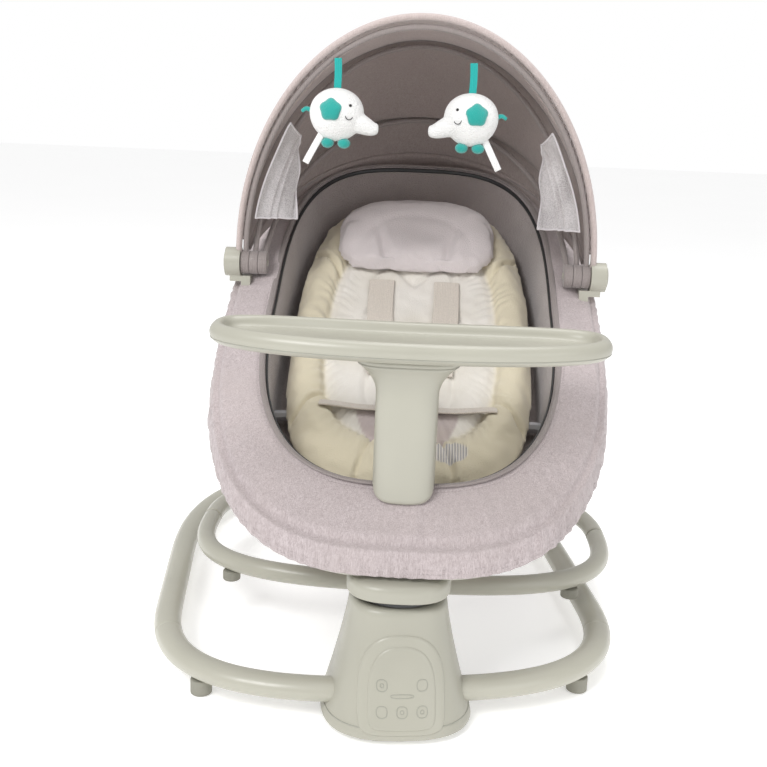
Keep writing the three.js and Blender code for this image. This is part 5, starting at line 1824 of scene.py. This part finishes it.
@dataclass
class HangingToy:
    """A stuffed white elephant on a ribbon, its trunk towards the other toy."""

    finishes: Finishes
    side: Side
    x: float
    y: float = 0.274
    z: float = 0.626
    radius: float = 0.033
    half_depth: float = 0.0225
    ribbon_top: float = 0.692

    def build(self) -> None:
        """Builds the toy."""
        self._body()
        self._face()
        self._limbs()
        self._hanger()

    @property
    def facing(self) -> int:
        """The trunk's way along X."""
        return -self.side.value

    def _at(self, x: float, y: float, z: float) -> np.ndarray:
        """A place on the toy, with X measured towards the trunk."""
        return np.array([self.x + self.facing * x, self.y + y, self.z + z])

    def _settle(self, piece: bpy.types.Object, *nodes: str) -> None:
        """Lets a piece ride on this toy."""
        slot = "plush" if "toy_ribbon" not in "".join(nodes) else "teal"
        settle(piece, "toy_" + self.side.word, slot, *nodes)

    def _tube(self, points: list, radius: np.ndarray | float, sides: int = 20) -> np.ndarray:
        """A tube through a few places on the toy, its curve a spline through them."""
        keys = np.stack([self._at(*p) for p in points])[:, None]
        path = through_rings(keys, 40)[:, 0]
        return with_ends(swept(path, radius, radius, sides, Y_AXIS), 0.001, 0.003)

    def _body(self) -> None:
        """Egg-shaped body and tapering trunk fused into one skin."""
        body = ellipsoid((0, 0, 0), (1, 1, 1), 40, 56)
        egg = 1 + 0.07 * body[..., 2:] * np.array([1, 1, 0])
        body = body * egg * np.array([self.radius, self.half_depth, self.radius * 0.96])
        shape = Shape().grid(body + self._at(0, 0, 0), False, True)
        taper = np.linspace(0.0150, 0.0062, 40)
        trunk = [(0.014, 0, -0.004), (0.030, -0.001, -0.010), (0.042, -0.001, -0.0145), (0.050, 0, -0.0150)]
        shape.grid(self._tube(trunk, taper, 28), False, True)
        piece = shape.build("elephant_" + self.side.word, self.finishes.plush)
        remeshed(piece, 0.0014, 7)
        keep_cloth_places(piece)
        self._settle(piece, "toy_elephant_" + self.side.word)

    def _front(self, x: float, z: float) -> float:
        """The body's front face: its depth where the stretched ball is solved for Y."""
        share = 1 - (x / self.radius) ** 2 - (z / self.radius) ** 2
        return -self.half_depth * math.sqrt(max(share, 0.02))

    def _face(self) -> None:
        """Teal ear, bead eye and a small sewn smile."""
        angle = np.linspace(0, FULL_TURN, 60, endpoint=False)[None]
        share = np.concatenate([np.linspace(0, 1, 14), np.linspace(1, 0, 6)])[:, None]
        outline = 0.0130 * (1 + 0.07 * np.cos(5 * (angle - 0.3)))
        puff = np.concatenate([0.0045 * np.sqrt(1 - np.linspace(0, 1, 14) ** 3), np.full(6, -0.002)])
        ear_x, ear_z = -0.006 + outline * share * np.cos(angle), 0.006 + outline * share * np.sin(angle)
        depth = np.sqrt(np.clip(1 - (ear_x / self.radius) ** 2 - (ear_z / self.radius) ** 2, 0.02, 1))
        ear_y = -self.half_depth * depth - puff[:, None]
        ear = np.stack([self.x + self.facing * ear_x, self.y + ear_y, self.z + ear_z], -1)
        shape = Shape().grid(ear, False, True).build("elephant_ear_" + self.side.word, self.finishes.teal)
        self._settle(shape)
        eye = Shape().grid(ellipsoid(tuple(self._at(0.0175, self._front(0.0175, 0.0115) - 0.0008, 0.0115)),
                                     (0.0018, 0.0014, 0.0018), 12, 18), False, True)
        self._settle(eye.build("elephant_eye_" + self.side.word, self.finishes.bead))
        bend = np.linspace(math.pi * 1.05, math.pi * 1.85, 9)
        curve = [
            (float(0.0165 + 0.0042 * math.cos(a)), self._front(0.0165, -0.003) - 0.0012,
             float(-0.001 + 0.0042 * math.sin(a)))
            for a in bend
        ]
        smile = Shape().grid(self._tube(curve, 0.00055, 8), False, True)
        self._settle(smile.build("elephant_smile_" + self.side.word, self.finishes.bead))

    def _limbs(self) -> None:
        """Two teal feet and a teal tail."""
        shape = Shape()
        for x in (-0.010, 0.010):
            foot = ellipsoid(tuple(self._at(x, -0.004, -0.0335)), (0.0078, 0.0075, 0.0062), 16, 24)
            shape.grid(foot, False, True)
        tail = [(-0.030, 0, 0.004), (-0.037, 0, 0.006), (-0.042, 0, 0.003)]
        shape.grid(self._tube(tail, np.linspace(0.003, 0.0022, 40), 12), False, True)
        self._settle(shape.build("elephant_feet_" + self.side.word, self.finishes.teal))

    def _hanger(self) -> None:
        """The flat ribbon loop above and the blank satin tag below."""
        height = np.linspace(self.z + 0.030, self.ribbon_top, 30)
        bend = 0.0006 * np.sin((height - height[0]) * 90)
        shape = Shape()
        for offset in (-0.0012, 0.0012):
            path = np.stack([self.x + bend, self.y + offset + 0 * height, height], -1)
            shape.grid(with_ends(swept(path, 0.0045, 0.0005, 12, Y_AXIS), 0.0003, 0.002), False, True)
        ribbon = shape.build("elephant_ribbon_" + self.side.word, self.finishes.ribbon)
        self._settle(ribbon, "toy_ribbon_" + self.side.word)
        drop = np.linspace(0, 1, 24)
        path = np.stack([
            self.x + self.facing * (-0.018 - 0.018 * drop),
            self.y - 0.004 - 0.004 * np.sin(drop * 2.4),
            self.z - 0.024 - 0.034 * drop,
        ], -1)
        tag = Shape().grid(with_ends(swept(path, 0.0042, 0.0005, 12, Y_AXIS), 0.0003, 0.002), False, True)
        self._settle(tag.build("elephant_tag_" + self.side.word, self.finishes.satin))


# ------------------------------------------------------------------ tray


@dataclass
class Tray:
    """The dished tray on its flared post."""

    finishes: Finishes
    half: tuple = (0.213, 0.065)
    centre_y: float = 0.025
    bow: float = 0.025
    squareness: float = 3.0
    post_half: tuple = (0.033, 0.024)
    collar_half: tuple = (0.053, 0.036)
    post_y: float = 0.016

    def build(self) -> None:
        """Builds the tray."""
        self._top()
        self._post()
        settle(
            refined("tray_release_button", self.finishes.panel, 0.0012), "tray_release", "panel",
            "tray_release_button",
        )

    def _ring(self, z: float, inset: float, count: int = 240) -> np.ndarray:
        """The tray's outline at a height, bowed back by the square of X."""
        ring = oval_ring(self.half[0] - inset, self.half[1] - inset, self.squareness, z, count, self.centre_y)
        ring[:, 1] += self.bow * (ring[:, 0] / self.half[0]) ** 2
        return ring

    def _top(self) -> None:
        """Rounded underside, outer lip, rim bead and dish, as one closed stack of rings."""
        keys = [
            (0.3882, 0.055), (0.388, 0.040), (0.388, 0.022), (0.3884, 0.014), (0.3905, 0.0065),
            (0.395, 0.0015), (0.400, 0.0), (0.4045, 0.0006), (0.4082, 0.003), (0.4104, 0.0065),
            (0.411, 0.0100), (0.4100, 0.0135), (0.4072, 0.0163), (0.4035, 0.0185), (0.4010, 0.0215),
            (0.4002, 0.027), (0.4000, 0.040), (0.3999, 0.056),
        ]
        rings = np.stack([self._ring(z, inset) for z, inset in keys])
        stack = through_rings(rings, 96)
        low = (stack[0] * [1, 0, 1]) * [0.9, 1, 1] + [0, self.centre_y, 0]
        top = (stack[-1] * [1, 0, 1]) * [0.9, 1, 1] + [0, self.centre_y, 0]
        low[:, 1] += self.bow * (low[:, 0] / self.half[0]) ** 2
        top[:, 1] += self.bow * (top[:, 0] / self.half[0]) ** 2
        stack = np.concatenate([low[None], stack, top[None]])
        piece = Shape().grid(stack, False, True).build("tray_skin", self.finishes.shell)
        settle(piece, "tray", "shell", "tray_top")
        line = self._ring(0.3955, 0.0010)
        seam = Shape().grid(swept_loop(line, 0.0005, 0.0005, 6, Z_AXIS), True, True)
        settle(seam.build("tray_part_line", self.finishes.mark), "tray", "shell")

    def _level(self, z: np.ndarray | float, half_x: float, half_y: float, count: int = 120) -> np.ndarray:
        """The post's outline with each point at its own height."""
        ring = oval_ring(half_x, half_y, 3.4, 0.0, count, self.post_y)
        ring[:, 2] = z(ring[:, 1]) if callable(z) else z
        return ring

    def _post(self) -> None:
        """The post: a foot rounded to the cover's slope, a straight shaft and a trumpet flare."""

        def over(y: np.ndarray) -> np.ndarray:
            """Height just over the cover's slope at y."""
            return seat_top_z(y) + 0.2 * (y + 0.044) + 0.0025

        hx, hy = self.post_half
        rings = [
            self._level(over, hx - 0.012, hy - 0.009), self._level(over, hx - 0.005, hy - 0.004),
            self._level(lambda y: over(y) + 0.0012, hx - 0.0018, hy - 0.0015),
            self._level(lambda y: over(y) + 0.004, hx - 0.0004, hy - 0.0003),
            self._level(lambda y: over(y) + 0.008, hx, hy),
        ]
        straight = [0.290, 0.315, 0.335, 0.346]
        rings += [self._level(z, hx, hy) for z in straight]
        for share in np.linspace(0.9, 0.0, 12):
            spread = (1 - share) ** 2.2
            half_x = hx + (self.collar_half[0] - hx) * spread
            half_y = hy + (self.collar_half[1] - hy) * spread
            rings.append(self._level(0.3816 - share * 0.034, half_x, half_y))
        rings += [
            self._level(0.3822, 0.0523, 0.0353), self._level(0.3828, 0.0523, 0.0353),
            self._level(0.3834, 0.053, 0.036), self._level(0.3872, 0.053, 0.036),
            self._level(0.3876, 0.0520, 0.035),
        ]
        low = rings[0].mean(axis=0)[None].repeat(120, 0)
        top = rings[-1].mean(axis=0)[None].repeat(120, 0)
        stack = np.concatenate([low[None], np.stack(rings), top[None]])
        shape = Shape().grid(stack, False, True)
        tongue = np.array([[0, 0.001, z] for z in np.linspace(0.1865, 0.255, 8)])
        shape.grid(with_ends(swept(tongue, 0.005, 0.014, 32, X_AXIS), 0.001, 0.005), False, True)
        piece = shape.build("tray_column", self.finishes.shell)
        settle(piece, "tray", "shell", "tray_post")


# ------------------------------------------------------------------ studio


@dataclass
class Studio:
    """Camera, pale floor and soft lights."""

    place: tuple = (0.0076, -1.098, 0.634)
    yaw: float = 1.7
    pitch: float = -13.96
    roll: float = 2.3
    lens: float = 51.63

    def build(self) -> None:
        """Builds the studio."""
        self._camera()
        self._floor()
        self._lights()

    def _camera(self) -> None:
        """Aims the camera by yaw, pitch and roll."""
        yaw, pitch, roll = (math.radians(v) for v in (self.yaw, self.pitch, self.roll))
        forward = np.array(
            [-math.sin(yaw) * math.cos(pitch), math.cos(yaw) * math.cos(pitch), math.sin(pitch)]
        )
        level = np.array([math.cos(yaw), math.sin(yaw), 0.0])
        upright = np.cross(level, forward)
        right = math.cos(roll) * level + math.sin(roll) * upright
        up = -math.sin(roll) * level + math.cos(roll) * upright
        lens = bpy.data.cameras.new("front_view")
        lens.lens, lens.sensor_width, lens.sensor_fit = self.lens, 36.0, "HORIZONTAL"
        lens.clip_start, lens.clip_end = 0.01, 50
        camera = bpy.data.objects.new("camera", lens)
        bpy.context.scene.collection.objects.link(camera)
        turn = np.stack([right, up, -forward], 1)
        matrix = np.eye(4)
        matrix[:3, :3], matrix[:3, 3] = turn, self.place
        camera.matrix_world = Matrix(matrix.tolist())
        bpy.context.scene.camera = camera

    def _floor(self) -> None:
        """A wide flat floor, lightly mottled."""
        shader = Shader("pale_floor")
        cloud = shader.noise(shader.places(), 1.5, 2.0)
        colour = shader.mix(cloud, tone(0.93, 0.93, 0.93), tone(0.97, 0.97, 0.97))
        glow = {"Emission Color": tone(1.0, 1.0, 1.0), "Emission Strength": 0.36}
        material = shader.finish(colour, 0.9, constants=glow)
        across = np.linspace(-14, 14, 15)[None]
        along = np.linspace(-14, 14, 15)[:, None]
        points = np.stack([across + 0 * along, along + 0 * across, 0 * across * along - 0.0005], -1)
        floor = Shape().grid(points).build("studio_floor", material, closed=False)

    def _lights(self) -> None:
        """A bright even sky, a large key from the upper left and a fill from the front."""
        world = bpy.data.worlds.new("studio_sky")
        bpy.context.scene.world = world
        world.use_nodes = True
        tree = world.node_tree
        sky = tree.nodes["Background"]
        sky.inputs["Color"].default_value = (1.0, 1.0, 1.0, 1.0)
        sky.inputs["Strength"].default_value = 0.62
        seen = tree.nodes.new("ShaderNodeBackground")
        seen.inputs["Color"].default_value = (1.0, 1.0, 1.0, 1.0)
        ray, both = tree.nodes.new("ShaderNodeLightPath"), tree.nodes.new("ShaderNodeMixShader")
        tree.links.new(ray.outputs["Is Camera Ray"], both.inputs[0])
        tree.links.new(sky.outputs[0], both.inputs[1])
        tree.links.new(seen.outputs[0], both.inputs[2])
        tree.links.new(both.outputs[0], tree.nodes["World Output"].inputs["Surface"])
        self._area("key", (-1.3, -1.7, 2.2), 1.1, 44)
        self._area("fill", (1.7, -1.7, 1.1), 1.3, 9)
        self._area("top", (0.2, 0.5, 2.6), 1.4, 24)
        bpy.context.scene.view_settings.view_transform = "Standard"

    def _area(self, name: str, place: tuple, size: float, power: float) -> None:
        """One square area light that looks at the seat."""
        light = bpy.data.lights.new(name, "AREA")
        light.energy, light.size = power, size
        lamp = bpy.data.objects.new(name, light)
        back = unit(np.array(place) - np.array([0, 0.25, 0.35]))
        side = unit(np.cross(Z_AXIS + 1e-4 * Y_AXIS, back))
        matrix = np.eye(4)
        matrix[:3, :3] = np.stack([side, np.cross(back, side), back], 1)
        matrix[:3, 3] = place
        lamp.matrix_world = Matrix(matrix.tolist())
        bpy.context.scene.collection.objects.link(lamp)


def main() -> None:
    """Builds the swing from the floor up."""
    logging.basicConfig(level=logging.INFO, format="%(name)s %(message)s")
    finishes = Finishes()
    Studio().build()
    FloorBase(finishes).build()
    Chassis(finishes).build()
    SeatCover(finishes).build()
    Liner(finishes).build()
    HeadPillow(finishes).build()
    Harness(finishes).build()
    Hood(finishes).build()
    HangingToy(finishes, Side.LEFT, -0.103).build()
    HangingToy(finishes, Side.RIGHT, 0.060).build()
    Tray(finishes).build()


if __name__ == "__main__":
    main()
